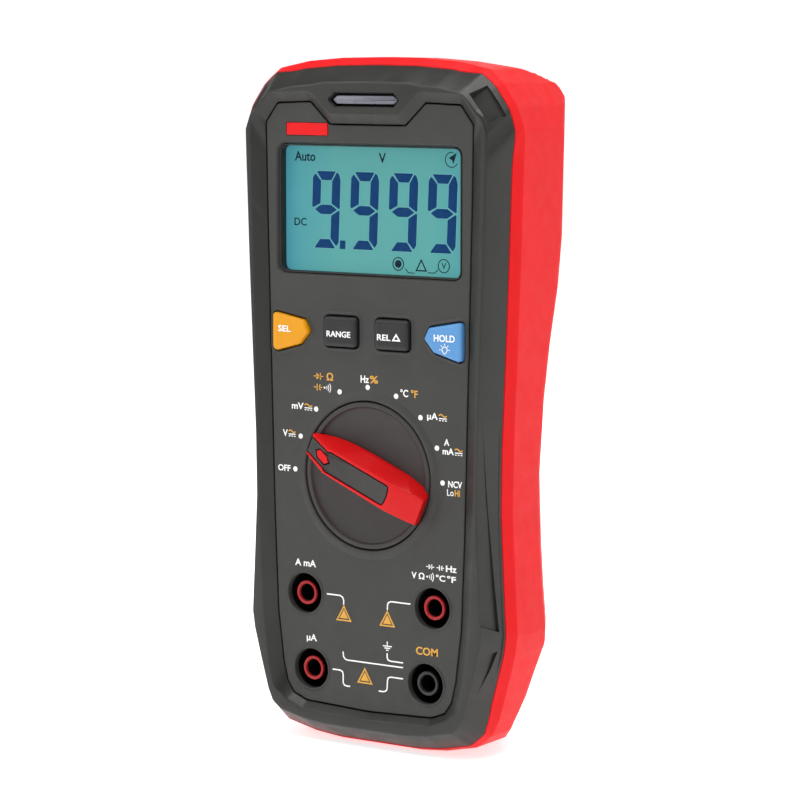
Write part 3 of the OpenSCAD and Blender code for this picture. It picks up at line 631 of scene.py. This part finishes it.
def panel():
    ob = layered("panel", grown(PANEL, -0.32), [(2.3, -0.05), (0.3, 0), (0.08, -0.06), (0, -0.22)])
    cutters = [layered("cutter", WINDOW, [(-1, 1.05), (0, 0.7), (0.16, 0.45), (0.75, 0.12), (4, 0)])]
    cutters.append(turned("cutter", [(18.75, -1), (18.75, 0), (18.55, 0.3), (18.55, 4)], n=128, ring=False))
    for shape in KEY_OUTLINES:
        cutters.append(layered("cutter", shape, [(-1, 0.5), (0, 0.42), (0.25, 0.28), (4, 0.28)]))
    for x, z in JACKS:
        cutters.append(turned("cutter", [(5.3, -1), (5.3, 0), (5.05, 0.3), (5.05, 4)], x, z, 64, ring=False))
    cutters.append(layered("cutter", rounded(rectangle(-24.3, -11.6, 83.0, 86.35), 0.3, 2),
                           [(-1, 0), (0.3, 0)]))
    cut(ob, *cutters)
    place(ob, "panel_front", "case", "panel_plastic", ["front_panel"], 18)
    collar = turned("collar", [(18.62, 0.9), (18.62, -0.25), (18.75, -0.44), (19.1, -0.52), (19.8, -0.42),
                               (20.6, -0.12), (21.0, 0.02), (21.0, 0.3), (19.2, 0.9)], n=144)
    place(collar, "dial_collar", "case", "panel_plastic")
    rim = [(5.08, 1.2), (5.08, -0.14), (5.2, -0.26), (5.42, -0.26), (5.62, -0.1), (5.8, 0.04), (5.8, 0.4),
           (5.5, 1.2)]
    rims = [turned("rim", rim, x, z, 72) for x, z in JACKS]
    place(join("rims", rims), "socket_rims", "case", "panel_plastic")
    lip = [(0.36, 0.5), (0.36, -0.12), (0.5, -0.26), (0.75, -0.26), (1.05, -0.08), (1.25, 0.03), (1.25, 0.3)]
    lips = []
    for shape in KEY_OUTLINES:
        lips.append(loft("lip", [flat_row(grown(shape, g), y) for g, y in lip], ring=True))
    place(join("lips", lips), "key_surrounds", "case", "panel_plastic")
    plate = layered("badge", rounded(rectangle(-24.1, -11.8, 83.2, 86.2), 0.25, 3),
                    [(0.35, 0), (-0.03, 0), (-0.09, -0.08)])
    place(plate, "badge_blank", "case", "red_gloss", ["badge_plate"])
    lens = layered("lens", rounded(indicator_outline(-0.55), 0.35, 3),
                   [(2.8, 0), (-0.75, 0), (-0.98, -0.12), (-1.06, -0.4)])
    place(lens, "indicator_lens", "case", "lens_grey", ["light_pipe"])


panel()

# ---- red rear shell


def scoop_reach(z):
    """How far the line across the side may reach at height z."""
    pts = sorted(SCOOP)
    return np.interp(z, [p[0] for p in pts], [p[1] for p in pts])


def soft_min(values, k):
    """The least of several values, blended over k where two are close."""
    v = np.stack(values)
    low = v.min(0)
    return low - k * np.log(np.exp(-(v - low) / k).sum(0))


def shell_row(d, y, wall):
    """Outline of the rear shell at one depth, wall further in."""
    inset = np.interp(y, [SEAM_DEPTH, CREASE_DEPTH - 0.3, CREASE_DEPTH + 0.25, CREASE_DEPTH + 0.8,
                          CASE_DEPTH - 1.3, CASE_DEPTH - 0.5, CASE_DEPTH - 0.12, CASE_DEPTH],
                      [1.8, 0.17, 0.03, 0.0, 0.0, 0.25, 0.6, 1.15])
    inset = inset * (1 - SEAM_SHARE) if y < CREASE_DEPTH else inset
    crown = np.interp(y, [10, 20, 26, 30, 34], [0.0, 0.9, 2.2, 4.0, 6.6])
    heel = np.interp(y, [22, 26, 30, 34], [0.0, 0.15, 1.4, 3.8])
    shoulder = np.interp(y, [7, 14, 20, 26, 34], [0.0, 1.0, 1.7, 2.0, 2.2])
    scoop_slope, scoop_scale, clear, blend = 1.68, 1.955, 0.15, 0.16

    def case_depth(p):
        return depth_inside(p, CASE_ARRAY)

    def value(p):
        x, z = np.abs(p[:, 0]), p[:, 1]
        parts = [
            case_depth(p) - inset - wall,
            (scoop_scale * (scoop_reach(z) - wall) - y - scoop_slope * x) / scoop_scale,
            TOP - crown - shoulder * smooth(x, 8, 33) - z + clear - wall,
            z - BOTTOM - heel + clear - wall,
        ]
        return soft_min(parts, blend) + 0.11

    r = reach(d, value)
    if case_depth(RAY_CENTRE + d * r[:, None]).min() < 0:
        r = np.minimum(r, reach(d, lambda p: case_depth(p) - 0.01))
    return flat_row(RAY_CENTRE + d * r[:, None], y)


SHELL_RAYS = rays([CASE], 1.3)
SEAM_SHARE = seam_share(SHELL_RAYS)


def rear():
    d = SHELL_RAYS
    inner_depths = (27, 24, 20, 16, 12, 8, 6, SEAM_DEPTH + 0.02)
    outer_depths = [SEAM_DEPTH, 4.65, 5.3, 6.0, 6.6, 6.85, 7.05, 7.3, 7.8, 8.6, 9.6, 10.6]
    outer_depths += list(np.arange(11.6, 30.2, 0.9)) + [30.4, 30.9, 31.3, 31.55, 31.75, 31.88, CASE_DEPTH]
    rows = [shell_row(d, y, SHELL_WALL) for y in inner_depths] + [shell_row(d, y, 0.0) for y in outer_depths]
    rows.append(shell_row(d, CASE_DEPTH, 1.3))
    ob = loft("rear", rows)
    pocket = rounded(rectangle(-21.8, 21.8, STAND_LOW - 1, HINGE + 2.9), 1.2, 4)
    hinge_bay = rounded(rectangle(-21.8, 21.8, HINGE - 3, HINGE + 2.8), 0.6, 3)
    thumb = rounded([(-9, STAND_LOW - 7.2), (-8, STAND_LOW + 1), (8, STAND_LOW + 1), (9, STAND_LOW - 7.2)],
                    1.5, 4)
    door = rounded(rectangle(-18.2, 18.2, -17.2, 51.2), 0.6, 3)
    flared = [(29.2, 0), (31.7, 0), (33, 0.9)]
    cutters = [layered("cutter", pocket, flared), layered("cutter", hinge_bay, [(27.1, 0), (30, 0)]),
               layered("cutter", thumb, flared), layered("cutter", door, [(25.5, 0), (29.6, 0)])]
    for x, z in ((-12, -59.4), (12, -59.4), (-30, 88), (30, 88)):
        cutters.append(turned("cutter", [(2.65, 26), (2.7, 31.4), (3.3, 33)], x, z, 40, ring=False))
    place(cut(ob, *cutters), "shell_rear", "case", "red_shell", ["rear_shell"], 20)


rear()

# ---- selector dial


def dial():
    disc = turned("disc", [(0.4, 1.36), (3, 1.34), (6, 1.28), (9, 1.16), (12, 0.98), (14.5, 0.78), (16.1, 0.6),
                           (16.6, 0.46), (16.85, 0.22), (16.98, -0.12), (17.12, -0.25), (17.4, -0.29),
                           (17.85, -0.28), (18.1, -0.2), (18.24, -0.02), (18.25, 2.4), (3, 2.8), (3, 10.4),
                           (0.4, 10.8)], n=160)
    cap = turned("cap", [(0.45, 1.36), (0.45, 1.9)], n=24, ring=False)
    place(join("disc", [disc, cap]), "dial_disc", "dial", "dark_plastic", ["knob_dial"], 30)


def slope_drop(z):
    """How far the top of the handle has sunk at z: steeply along the prongs, gently along the tail."""
    return max(0.0, z - 9.4) * 0.506 + max(0.0, -10.1 - z) * 0.2


def sunk(ob):
    """Lowers a piece of the handle along its slopes."""
    for v in ob.data.vertices:
        v.co.y += slope_drop(v.co.z)
    return ob


def bar_body():
    """The red handle: a flat top, a crisp crease, plain side facets, and two prongs that slope down."""
    sections = [  # along, half width of the top, half width at the base, how far the base falls short
        (-18.9, 3.3, 3.7, 0.7), (-18.4, 3.42, 3.95, 0.4), (-15.4, 3.52, 4.75, 0), (-10.1, 3.52, 5.3, 0),
        (0, 3.35, 5.45, 0), (6, 3.25, 5.2, 0), (9.4, 3.15, 4.85, 0), (12.5, 3.0, 4.35, 0),
        (15.4, 2.85, 3.6, 0), (18.0, 2.72, 2.95, 0),
    ]
    over_disc, over_tail_rim, over_prong_rim, rim_from = 1.05, -0.58, -0.36, 16
    rows = []
    for z, wide, base_wide, short in sections:
        top = HANDLE_TOP + slope_drop(z) + (0.2 if z < -18.8 else 0)
        base = over_disc if abs(z) < rim_from else (over_tail_rim if z < 0 else over_prong_rim)
        skirt = min(-0.5, base - 0.12)
        right = [(base_wide, base, z + short), (base_wide, skirt, z + short), (wide + 0.04, top + 0.16, z),
                 (wide - 0.1, top + 0.03, z), (wide - 0.3, top, z)]
        rows.append(right + [(-x, y, zz) for x, y, zz in reversed(right)])
    return loft("bar", rows)


def bar():
    """The handle, with a dark pad and a red hexagon in the slot between its prongs."""
    end = [(2.75 * math.sin(t), -9.2 - 0.8 * math.cos(t)) for t in np.linspace(-math.pi / 2, math.pi / 2, 9)]
    slot = [(-2.75, 8.8), (-2.3, 10.2), (-2.2, 18.9), (2.2, 18.9), (2.3, 10.2), (2.75, 8.8)] + end[::-1]
    slot = dense(slot, 1.1)
    ob = cut(bar_body(), sunk(layered("cutter", slot, [(-7, 0.05), (-5.3, 0), (-4.6, 0)])))
    bevelled(ob, 0.07, 2, 30)
    place(spun(ob), "dial_handle", "dial", "red_gloss", ["knob_bar"], 20)
    hexagon = dense([(0, 14.4), (-1.0, 13.2), (-1.0, 9.9), (0, 8.7), (1.0, 9.9), (1.0, 13.2)], 0.9)
    short = [(x, min(z, 18.25)) for x, z in slot]
    pad = sunk(layered("pad", short, [(-5.2, -0.36), (-5.46, -0.36), (-5.53, -0.42)]))
    cut(pad, sunk(layered("cutter", hexagon, [(-7, 0.42), (-4, 0.4)])))
    place(spun(pad), "dial_inlay", "dial", "dark_plastic", ["knob_inlay"], 30)
    # Painted shade: a black sheet under the pad, seen only through the gap round it, standing in for the shade in
    # that gap.
    liner = sunk(layered("liner", short, [(-4.62, -0.04), (-5.18, -0.04)]))
    place(spun(liner), "dial_inlay_bed", "dial", "black_plastic")
    mark = sunk(layered("mark", hexagon, [(-5.2, 0), (-5.5, 0), (-5.58, -0.1)]))
    place(spun(mark), "dial_mark", "dial", "red_gloss", ["knob_mark"], 30)


dial()
bar()

# ---- keys


def keys():
    profile = [(2.6, 0.6), (2.3, 0.6), (2.2, 0.0), (-0.62, -0.03), (-0.92, -0.12), (-1.12, -0.32),
               (-1.22, -0.62), (KEY_TOP, -1.05), (-1.23, -1.6), (-1.2, -2.4)]
    for name, (slot, corners, radius) in KEYS.items():
        ob = cushion("key", corners, radius, profile)
        place(ob, "key_" + name + "_cap", "key_" + name + "_button", slot, ["key_" + name], 40)


keys()

# ---- sockets


def at_sockets(name, profile, n, places=JACKS):
    """The same turned piece at each socket, as one mesh."""
    return join(name, [turned(name, profile, x, z, n) for x, z in places])


def sockets():
    well = [(6.05, 2.45), (6.05, 18.4), (2.62, 18.4), (2.62, 16.9), (4.9, 16.8), (5.04, 16.6), (5.04, 1.4),
            (5.2, 1.3), (5.2, 2.45)]
    sleeve = [(3.02, 1.32), (3.02, 0.86), (2.95, 0.74), (2.84, 0.7), (2.46, 0.7), (2.3, 0.8), (2.22, 1.0),
              (2.2, 1.32)]
    body = [(2.98, 16.7), (2.98, 1.34), (2.08, 1.34), (2.08, 7.6), (2.6, 7.8), (2.6, 16.7)]
    contact = [(2.5, 8.0), (2.5, 18.3), (2.0, 18.3), (2.0, 8.3), (2.2, 8.0)]
    dark = at_sockets("sleeve", sleeve, 64, JACKS[3:])
    place(dark, "sleeve_common", "case", "sleeve_dark", ["jack_sleeve_dark"])
    place(at_sockets("wells", well, 64), "socket_wells", "case", "black_plastic", ["jack_wells"])
    reds = at_sockets("reds", sleeve, 64, JACKS[:3])
    place(reds, "sleeves_live", "case", "sleeve_red", ["jack_sleeves_red"])
    # Painted shade: black bodies behind the thin rings, standing in for the shade on the sleeve walls down in the
    # sockets.
    place(at_sockets("bodies", body, 64), "sleeve_bodies", "case", "black_plastic")
    place(at_sockets("contacts", contact, 48), "socket_contacts", "case", "brass", ["jack_contacts"])


sockets()

# ---- display and printing


def prism(outline, y0, y1):
    return layered("prism", outline, [(y0, 0), (y1, 0)])


def stroke(points, width, y0, y1):
    """A printed line of one width through the points."""
    p = np.array(points, float)
    e = p[1:] - p[:-1]
    n = np.stack([-e[:, 1], e[:, 0]], 1) / np.linalg.norm(e, axis=1)[:, None]
    m = np.concatenate([n[:1], n[:-1] + n[1:], n[-1:]])
    m = m / np.linalg.norm(m, axis=1)[:, None]
    ref = np.concatenate([n[:1], n])
    m = m / np.maximum((m * ref).sum(1), 0.4)[:, None] * width / 2
    return prism([tuple(q) for q in p + m] + [tuple(q) for q in (p - m)[::-1]], y0, y1)


def frame_mark(outline, width, y0, y1):
    """A printed closed line of one width just inside an outline."""
    inside = grown(outline, -width)
    rows = [flat_row(outline, y0), flat_row(outline, y1), flat_row(inside, y1), flat_row(inside, y0)]
    return loft("frame_mark", rows, ring=True)


def polar(cx, cz, r, degrees):
    return cx + r * math.cos(math.radians(degrees)), cz + r * math.sin(math.radians(degrees))


def arc(cx, cz, r, a0, a1, n):
    return [polar(cx, cz, r, a0 + (a1 - a0) * k / n) for k in range(n + 1)]


def lettering(text, box, y0, y1, bold):
    """Text from the built-in font, fitted to (x0, x1, z0, z1)."""
    curve = bpy.data.curves.new("t", "FONT")
    curve.body, curve.size, curve.extrude, curve.offset, curve.resolution_u = text, 1.0, 0.5, bold, 3
    ob = bpy.data.objects.new("t", curve)
    bpy.context.scene.collection.objects.link(ob)
    mesh = bpy.data.meshes.new_from_object(ob)
    bpy.data.objects.remove(ob)
    co = np.array([v.co for v in mesh.vertices], float)
    faces = [tuple(p.vertices) for p in mesh.polygons]
    bpy.data.meshes.remove(mesh)
    lo, hi = co.min(0), co.max(0)
    u, v = (co[:, 0] - lo[0]) / (hi[0] - lo[0]), (co[:, 1] - lo[1]) / (hi[1] - lo[1])
    x0, x1, z0, z1 = box
    verts = [(x0 + (x1 - x0) * a, y0 if c > 0 else y1, z0 + (z1 - z0) * b)
             for a, b, c in zip(u, v, co[:, 2])]
    return fix_normals(raw("text", verts, faces))


def dot(x, z, r, y0, y1, n=28):
    return prism(circle(x, z, r, n), y0, y1)


INK = (-0.035, 0.05)  # depths of the printing on the panel
KEY_INK = (KEY_TOP - 0.025, KEY_TOP + 0.05)
FIGURES, HALO = (2.80, 2.86), (2.87, 2.90)
INK_CREASE = 60


def coupling(x, z, w):
    """Direct and alternating current sign: a wave over a line over dashes. Returns (wave, lines)."""
    wave = [(x + w * t, z + 1.25 + 0.28 * math.sin(2 * math.pi * t)) for t in np.linspace(0, 1, 13)]
    lines = [[(x, z + 0.55), (x + w, z + 0.55)]]
    for k in range(3):
        dash = (0.02 + 0.37 * k, 0.24 + 0.37 * k)
        lines.append([(x + w * t, z + 0.05) for t in dash])
    return stroke(wave, 0.3, *INK), [stroke(line, 0.24, *INK) for line in lines]


def diode(x, z, w, h):
    return [prism([(x + w * 0.3, z - h / 2), (x + w * 0.3, z + h / 2), (x + w * 0.68, z)], *INK),
            stroke([(x + w * 0.7, z - h / 2), (x + w * 0.7, z + h / 2)], 0.24, *INK),
            stroke([(x, z), (x + w, z)], 0.22, *INK)]


def capacitor(x, z, w, h):
    return [stroke([(x, z), (x + w * 0.4, z)], 0.22, *INK),
            stroke([(x + w * 0.4, z - h / 2), (x + w * 0.4, z + h / 2)], 0.26, *INK),
            stroke(arc(x + w * 1.02, z, h * 0.55, 130, 230, 8), 0.26, *INK),
            stroke([(x + w * 0.66, z), (x + w, z)], 0.22, *INK)]


def tone(x, z):
    """Continuity sign: a dot and three growing arcs."""
    out = [dot(x, z, 0.26, *INK, n=12)]
    for r in (0.72, 1.28, 1.84):
        out.append(stroke(arc(x, z, r, -36, 36, 7), 0.19, *INK))
    return out


WHITE_WORDS = [
    ("OFF", -27.2, -23.4, -0.75, 0.85), ("V", -25.7, -24.2, 8.05, 9.75), ("mV", -22.9, -19.3, 15.1, 16.8),
    ("Hz", -2.1, 0.35, 22.95, 24.75), ("°C", 9.6, 11.9, 20.2, 22.1), ("µA", 17.4, 20.5, 14.85, 16.9),
    ("A", 22.3, 23.8, 9.2, 10.8), ("mA", 21.9, 25.1, 7.0, 8.6), ("NCV", 23.5, 27.5, -0.95, 0.7),
    ("A mA", -22.1, -15.7, -24.35, -22.6), ("µA", -18.6, -15.5, -43.5, -41.4),
    ("Hz", 22.9, 26.0, -21.7, -20.1), ("V", 12.9, 14.4, -24.2, -22.6), ("Ω", 15.0, 16.7, -24.2, -22.6),
    ("°C", 20.0, 22.7, -24.2, -22.6), ("°F", 23.2, 25.8, -24.2, -22.6),
]
ORANGE_WORDS = [
    ("%", 0.6, 3.1, 22.95, 24.85), ("°F", 12.7, 14.7, 20.2, 22.1), ("Hi", 25.4, 26.9, -3.0, -1.4),
    ("Ω", -12.3, -10.3, 22.85, 24.8), ("COM", 14.2, 20.6, -43.0, -41.0),
]
SOCKET_LINES = [
    [(-12.4, -30.7), (-8.4, -30.7), (-7.6, -31.1), (-7.3, -31.8), (-7.3, -32.9)],
    [(12.6, -30.7), (6.9, -30.7), (6.1, -31.0), (5.8, -31.7), (5.8, -32.9)],
    [(-7.5, -44.8), (-7.4, -46.0), (-6.9, -46.6), (-6.2, -46.8), (10.4, -46.8)],
    [(5.7, -43.7), (5.7, -44.8), (6.0, -45.4), (6.7, -45.6), (10.4, -45.6)],
    [(-10.7, -49.6), (-8.4, -49.6), (-7.7, -49.9), (-7.5, -50.6), (-7.5, -52.6), (-7.2, -53.2), (-6.5, -53.4),
     (-5.4, -53.4)],
    [(10.4, -49.6), (6.7, -49.6), (6.0, -49.9), (5.8, -50.6), (5.7, -52.6), (5.4, -53.2), (4.7, -53.5),
     (3.2, -53.5)],
]


def panel_words(rows, bold=0.022):
    return [lettering(text, box, *INK, bold) for text, *box in rows]


def printing():
    """Everything printed on the panel."""
    white, orange = panel_words(WHITE_WORDS), panel_words(ORANGE_WORDS)
    white += panel_words([("Lo", 23.2, 25.1, -3.0, -1.4)], 0.008)
    for k in range(9):
        white.append(dot(*polar(0, 0, 21.9, 180 - DIAL_STEP * k), 0.64, *INK))
    orange += diode(-16.2, 23.75, 2.9, 1.7) + capacitor(-16.2, 21.0, 2.6, 1.7)
    white += diode(17.2, -20.9, 2.3, 1.3) + capacitor(20.2, -20.9, 2.1, 1.3)
    white += tone(-12.9, 21.0) + tone(17.5, -23.4)
    for x, z, w in ((-23.9, 8.15, 2.1), (-19.0, 15.05, 2.3), (20.8, 15.1, 2.3), (25.4, 7.05, 2.2)):
        wave, lines = coupling(x, z, w)
        orange.append(wave)
        white += lines
    white += [stroke(line, 0.34, *INK) for line in SOCKET_LINES]
    for x, z in ((-7.25, -36.9), (5.75, -36.9), (-0.95, -52.0)):
        orange.append(frame_mark([(x - 2.35, z - 0.15), (x, z + 3.95), (x + 2.35, z - 0.15)], 0.36, *INK))
        orange.append(prism([(x - 1.25, z + 0.52), (x, z + 2.75), (x + 1.25, z + 0.52)], *INK))
    white.append(stroke([(5.75, -40.8), (5.75, -41.9)], 0.28, *INK))
    for k, w in enumerate((1.3, 0.85, 0.4)):
        z = -41.95 - 0.5 * k
        white.append(stroke([(5.75 - w, z), (5.75 + w, z)], 0.26, *INK))
    for name, ink, marks in (("white", INK_WHITE, white), ("orange", INK_ORANGE, orange)):
        place(join(name, marks), "panel_marks_" + name, "case", "panel_plastic", (), INK_CREASE, ink)


def key_legends():
    words = {
        "select": ("SEL", -26.1, -22.3, 34.4, 36.0), "range": ("RANGE", -11.4, -4.3, 33.9, 35.4),
        "relative": ("REL", 3.6, 7.5, 33.8, 35.3), "hold": ("HOLD", 20.1, 26.1, 34.4, 36.1),
    }
    lamp = 23.2, 32.5
    beams = [stroke([polar(*lamp, r, a) for r in (1.1, 1.5)], 0.2, *KEY_INK) for a in range(0, 181, 45)]
    signs = {
        "relative": [frame_mark([(7.9, 33.8), (9.2, 35.7), (10.5, 33.8)], 0.36, *KEY_INK)],
        "hold": [stroke(arc(*lamp, 0.75, -60, 240, 14), 0.2, *KEY_INK),
                 stroke([(22.85, 31.6), (23.55, 31.6)], 0.22, *KEY_INK)] + beams,
    }
    for name, (text, *box) in words.items():
        parts = [lettering(text, box, *KEY_INK, 0.02)] + signs.get(name, [])
        place(join("legend", parts), "legend_" + name, "key_" + name + "_button", KEYS[name][0],
              angle=INK_CREASE, material=INK_WHITE)


printing()
key_legends()


def digit(x, y0, y1, grow=0.0):
    """The figure 9 on seven segments, 8.4 mm wide and 19 mm high, leaning a little."""
    w, top, bottom, mid, t, h, g, lean = 8.4, 74.4, 55.3, 64.9, 2.6, 2.35, 0.22, 0.04
    waist = h * 0.52
    low, high = mid - h * 0.62, mid + h * 0.62
    segments = [
        [(0.75 + g, top), (w - 1.4, top), (w - t - 0.15, top - h), (t + 0.15, top - h)],
        [(0, top - 1.6), (0.75, top - 0.55), (t, top - h - 0.1), (t, high), (0.35, mid + 0.35), (0, mid + 0.8)],
        [(w, mid + 0.3), (w, top - 2.2), (w - 0.5, top - 0.75), (w - 1.2, top - 0.15), (w - t, top - h - 0.1),
         (w - t, high), (w - 0.35, mid + 0.12)],
        [(0.8, mid), (t + 0.1, mid + waist), (w - t - 0.1, mid + waist), (w - 0.75, mid),
         (w - t - 0.1, mid - waist), (t + 0.1, mid - waist)],
        [(w, mid - 0.35), (w - 0.35, mid - 0.12), (w - t, low), (w - t, bottom + h + 0.1),
         (w - 0.75, bottom + 0.5), (w, bottom + 1.6)],
        [(0.75 + g, bottom), (t + 0.15, bottom + h), (w - t - 0.15, bottom + h), (w - 0.95, bottom)],
    ]
    out = []
    for shape in segments:
        shape = [(x + px + (pz - bottom) * lean, pz) for px, pz in shape]
        out.append(prism(rounded(grown(shape, grow - 0.06), 0.12, 2), y0, y1))
    return out


def display_signs():
    """The small signs round the figures."""
    words = (("Auto", (-23.7, -17.5, 76.7, 79.1), 0.014), ("V", (1.4, 3.5, 76.7, 79.1), 0.014),
             ("DC", (-23.9, -20.2, 60.7, 62.6), 0.01), ("V", (19.6, 21.0, 51.6, 53.1), 0.0))
    lines = (
        (arc(22.5, 77.9, 1.8, 75, 330, 26), 0.2), (arc(7.1, 52.3, 1.55, 0, 360, 30), 0.24),
        (arc(20.3, 52.3, 1.6, 0, 360, 30), 0.22), ([(9.2, 51.2), (10.1, 50.25), (11.9, 50.25)], 0.2),
        ([(15.7, 50.5), (17.7, 50.5), (18.6, 51.3)], 0.2),
    )
    signs = [lettering(text, box, *FIGURES, bold) for text, box, bold in words]
    signs += [stroke(points, width, *FIGURES) for points, width in lines]
    signs.append(prism([(23.9, 79.6), (21.7, 78.3), (22.6, 77.8), (23.0, 76.9)], *FIGURES))
    signs.append(dot(7.1, 52.3, 0.95, *FIGURES))
    signs.append(frame_mark([(12.1, 50.75), (13.8, 53.8), (15.5, 50.75)], 0.32, *FIGURES))
    return signs


def display():
    face = rounded(rectangle(-28, 28, 47.4, 82.6), 0.5, 3)
    place(layered("glass", face, [(4.85, 0), (2.96, 0), (2.92, -0.05)]), "display_cell", "case", "lcd",
          ["lcd_glass"])
    # edge holds the rims of painted highlight round the figures.
    ink, edge = [], []
    for x in (-18.95, -7.5, 3.9, 15.2):
        ink += digit(x, *FIGURES)
        edge += digit(x, *HALO, grow=0.14)
    ink.append(prism([(-10.2, 55.3), (-10.1, 57.4), (-8.5, 57.4), (-8.6, 55.3)], *FIGURES))
    for name, parts, material in (("figures", ink, LCD_INK_AND_PAINTED_GLOW), ("halo", edge, PAINTED_HALO),
                                  ("signs", display_signs(), INK_THIN)):
        place(join(name, parts), "display_" + name, "case", "lcd", (), INK_CREASE, material)
    gasket = [(-0.04, 2.8), (-0.04, 0.62), (-0.14, 0.55), (-0.36, 0.55), (-0.42, 0.65), (-0.42, 2.8)]
    gasket = loft("gasket", [flat_row(grown(WINDOW, g), y) for g, y in gasket], ring=True)
    place(gasket, "display_gasket", "case", "black_rubber")
    window = layered("window", grown(WINDOW, -0.46), [(2.0, 0), (0.85, 0), (0.8, -0.05)])
    place(window, "display_window", "case", "window_clear", ["lcd_window"])


display()

# ---- back


def stand():
    """The stand's leaf with its lip, a shallow panel and grip lines, on a barrel with two pins."""
    edge = [(29.5, -0.3), (29.8, 0), (31.5, 0), (31.78, -0.12), (31.9, -0.4)]
    ob = layered("leaf", rounded(rectangle(-21.4, 21.4, STAND_LOW, HINGE), 1.0, 4), edge)
    lip = [(-7.6, STAND_LOW - 5), (-7.4, STAND_LOW + 1), (7.4, STAND_LOW + 1), (7.6, STAND_LOW - 5)]
    cut(ob, layered("lip", rounded(lip, 1.4, 4), edge), operation="UNION")
    cutters = [layered("cutter", rounded(rectangle(-14, 14, STAND_LOW + 24, HINGE - 12), 3, 5),
                       [(31.15, -0.5), (31.5, 0), (33, 0.4)])]
    for k in range(4):
        z = STAND_LOW + 3.5 + 2.2 * k
        groove = rounded(rectangle(-6, 6, z, z + 0.9), 0.4, 3)
        cutters.append(layered("cutter", groove, [(31.5, 0), (33, 0.2)]))
    cut(ob, *cutters)
    half = [(23.9, 1.1), (23.7, 1.4), (21.4, 1.4), (21.4, 1.6), (21.2, 2.1), (20.9, 2.2)]
    barrel = [(-x, r) for x, r in half] + half[::-1]
    pin = loft("pin", [[(x, y, z) for y, z in circle(29.7, HINGE, r, 40)] for x, r in barrel])
    place(join("stand", [ob, pin]), "stand_leaf", "stand", "dark_plastic", ["tilt_stand"], 14)


stand()

# ---- CAD pieces that keep their shape


def finish_cad_pieces():
    slots = {p["node"]: p["material_slot"] for p in frame["record"]["subparts"]}
    for node, ob in frame["nodes"].items():
        finished(ob, M[slots[node]], CREASE)


finish_cad_pieces()

# ---- floor, light and camera


def studio():
    """A pale paper sweep, three softboxes and a dim world, in metres."""
    front, back, half, wall, bend = -2.5, 2.4, 3.5, 2.2, 0.9
    flat = back - bend
    profile = [(front, 0.0), (0.6, 0.0), (flat, 0.0)]
    turns = np.linspace(0.1, math.pi / 2, 14)
    profile += [(flat + bend * math.sin(a), bend - bend * math.cos(a)) for a in turns]
    profile.append((back, wall))
    verts = [(x, y, z) for y, z in profile for x in (-half, half)]
    faces = [(2 * k, 2 * k + 1, 2 * k + 3, 2 * k + 2) for k in range(len(profile) - 1)]
    floor = raw("studio_sweep", verts, faces)
    floor.data.shade_smooth()
    paper = grained("studio_paper", (0.93, 0.93, 0.93, 1), rough=0.8, grain=3, bump=0.01, shift=0.004,
                    mottle=120, glow=(1, 1, 1, 1), glow_strength=0.66)
    floor.data.materials.append(paper)

    world = bpy.data.worlds.new("studio")
    bpy.context.scene.world = world
    world.use_nodes = True
    background = world.node_tree.nodes["Background"]
    background.inputs["Color"].default_value = (1, 1, 1, 1)
    background.inputs["Strength"].default_value = 0.14

    middle = Vector((0, 0, 0.085))

    def softbox(name, location, size, power):
        lamp = bpy.data.lights.new(name, "AREA")
        lamp.shape, lamp.size, lamp.size_y, lamp.energy = "RECTANGLE", size[0], size[1], power
        ob = bpy.data.objects.new(name, lamp)
        ob.location = location
        ob.rotation_mode = "QUATERNION"
        ob.rotation_quaternion = (middle - Vector(location)).to_track_quat("-Z", "Y")
        bpy.context.scene.collection.objects.link(ob)

    softbox("softbox_top", (0.1, -0.15, 0.9), (0.9, 0.7), 9.4)
    softbox("softbox_left", (-0.7, -0.62, 0.6), (0.5, 0.8), 4.8)
    softbox("softbox_right", (1.0, 0.2, 0.45), (0.6, 0.8), 2.3)


def camera():
    """The photograph's view: to the right of the front and a little above."""
    azimuth, elevation = math.radians(33.698), math.radians(6.793)
    target, distance = Vector((9.507, 0, 19.401)), 731.644
    back = Vector((math.sin(azimuth) * math.cos(elevation), -math.cos(azimuth) * math.cos(elevation),
                   math.sin(elevation)))
    data = bpy.data.cameras.new("camera")
    data.sensor_width, data.lens = 36.0, 135.29
    data.clip_start, data.clip_end = 0.05, 20
    cam = bpy.data.objects.new("camera", data)
    cam.location = TO_ROW @ (target + back * distance)
    cam.rotation_mode = "QUATERNION"
    cam.rotation_quaternion = (-back).to_track_quat("-Z", "Y")
    bpy.context.scene.collection.objects.link(cam)
    bpy.context.scene.camera = cam


studio()
camera()
bpy.context.scene.view_settings.view_transform = "Standard"
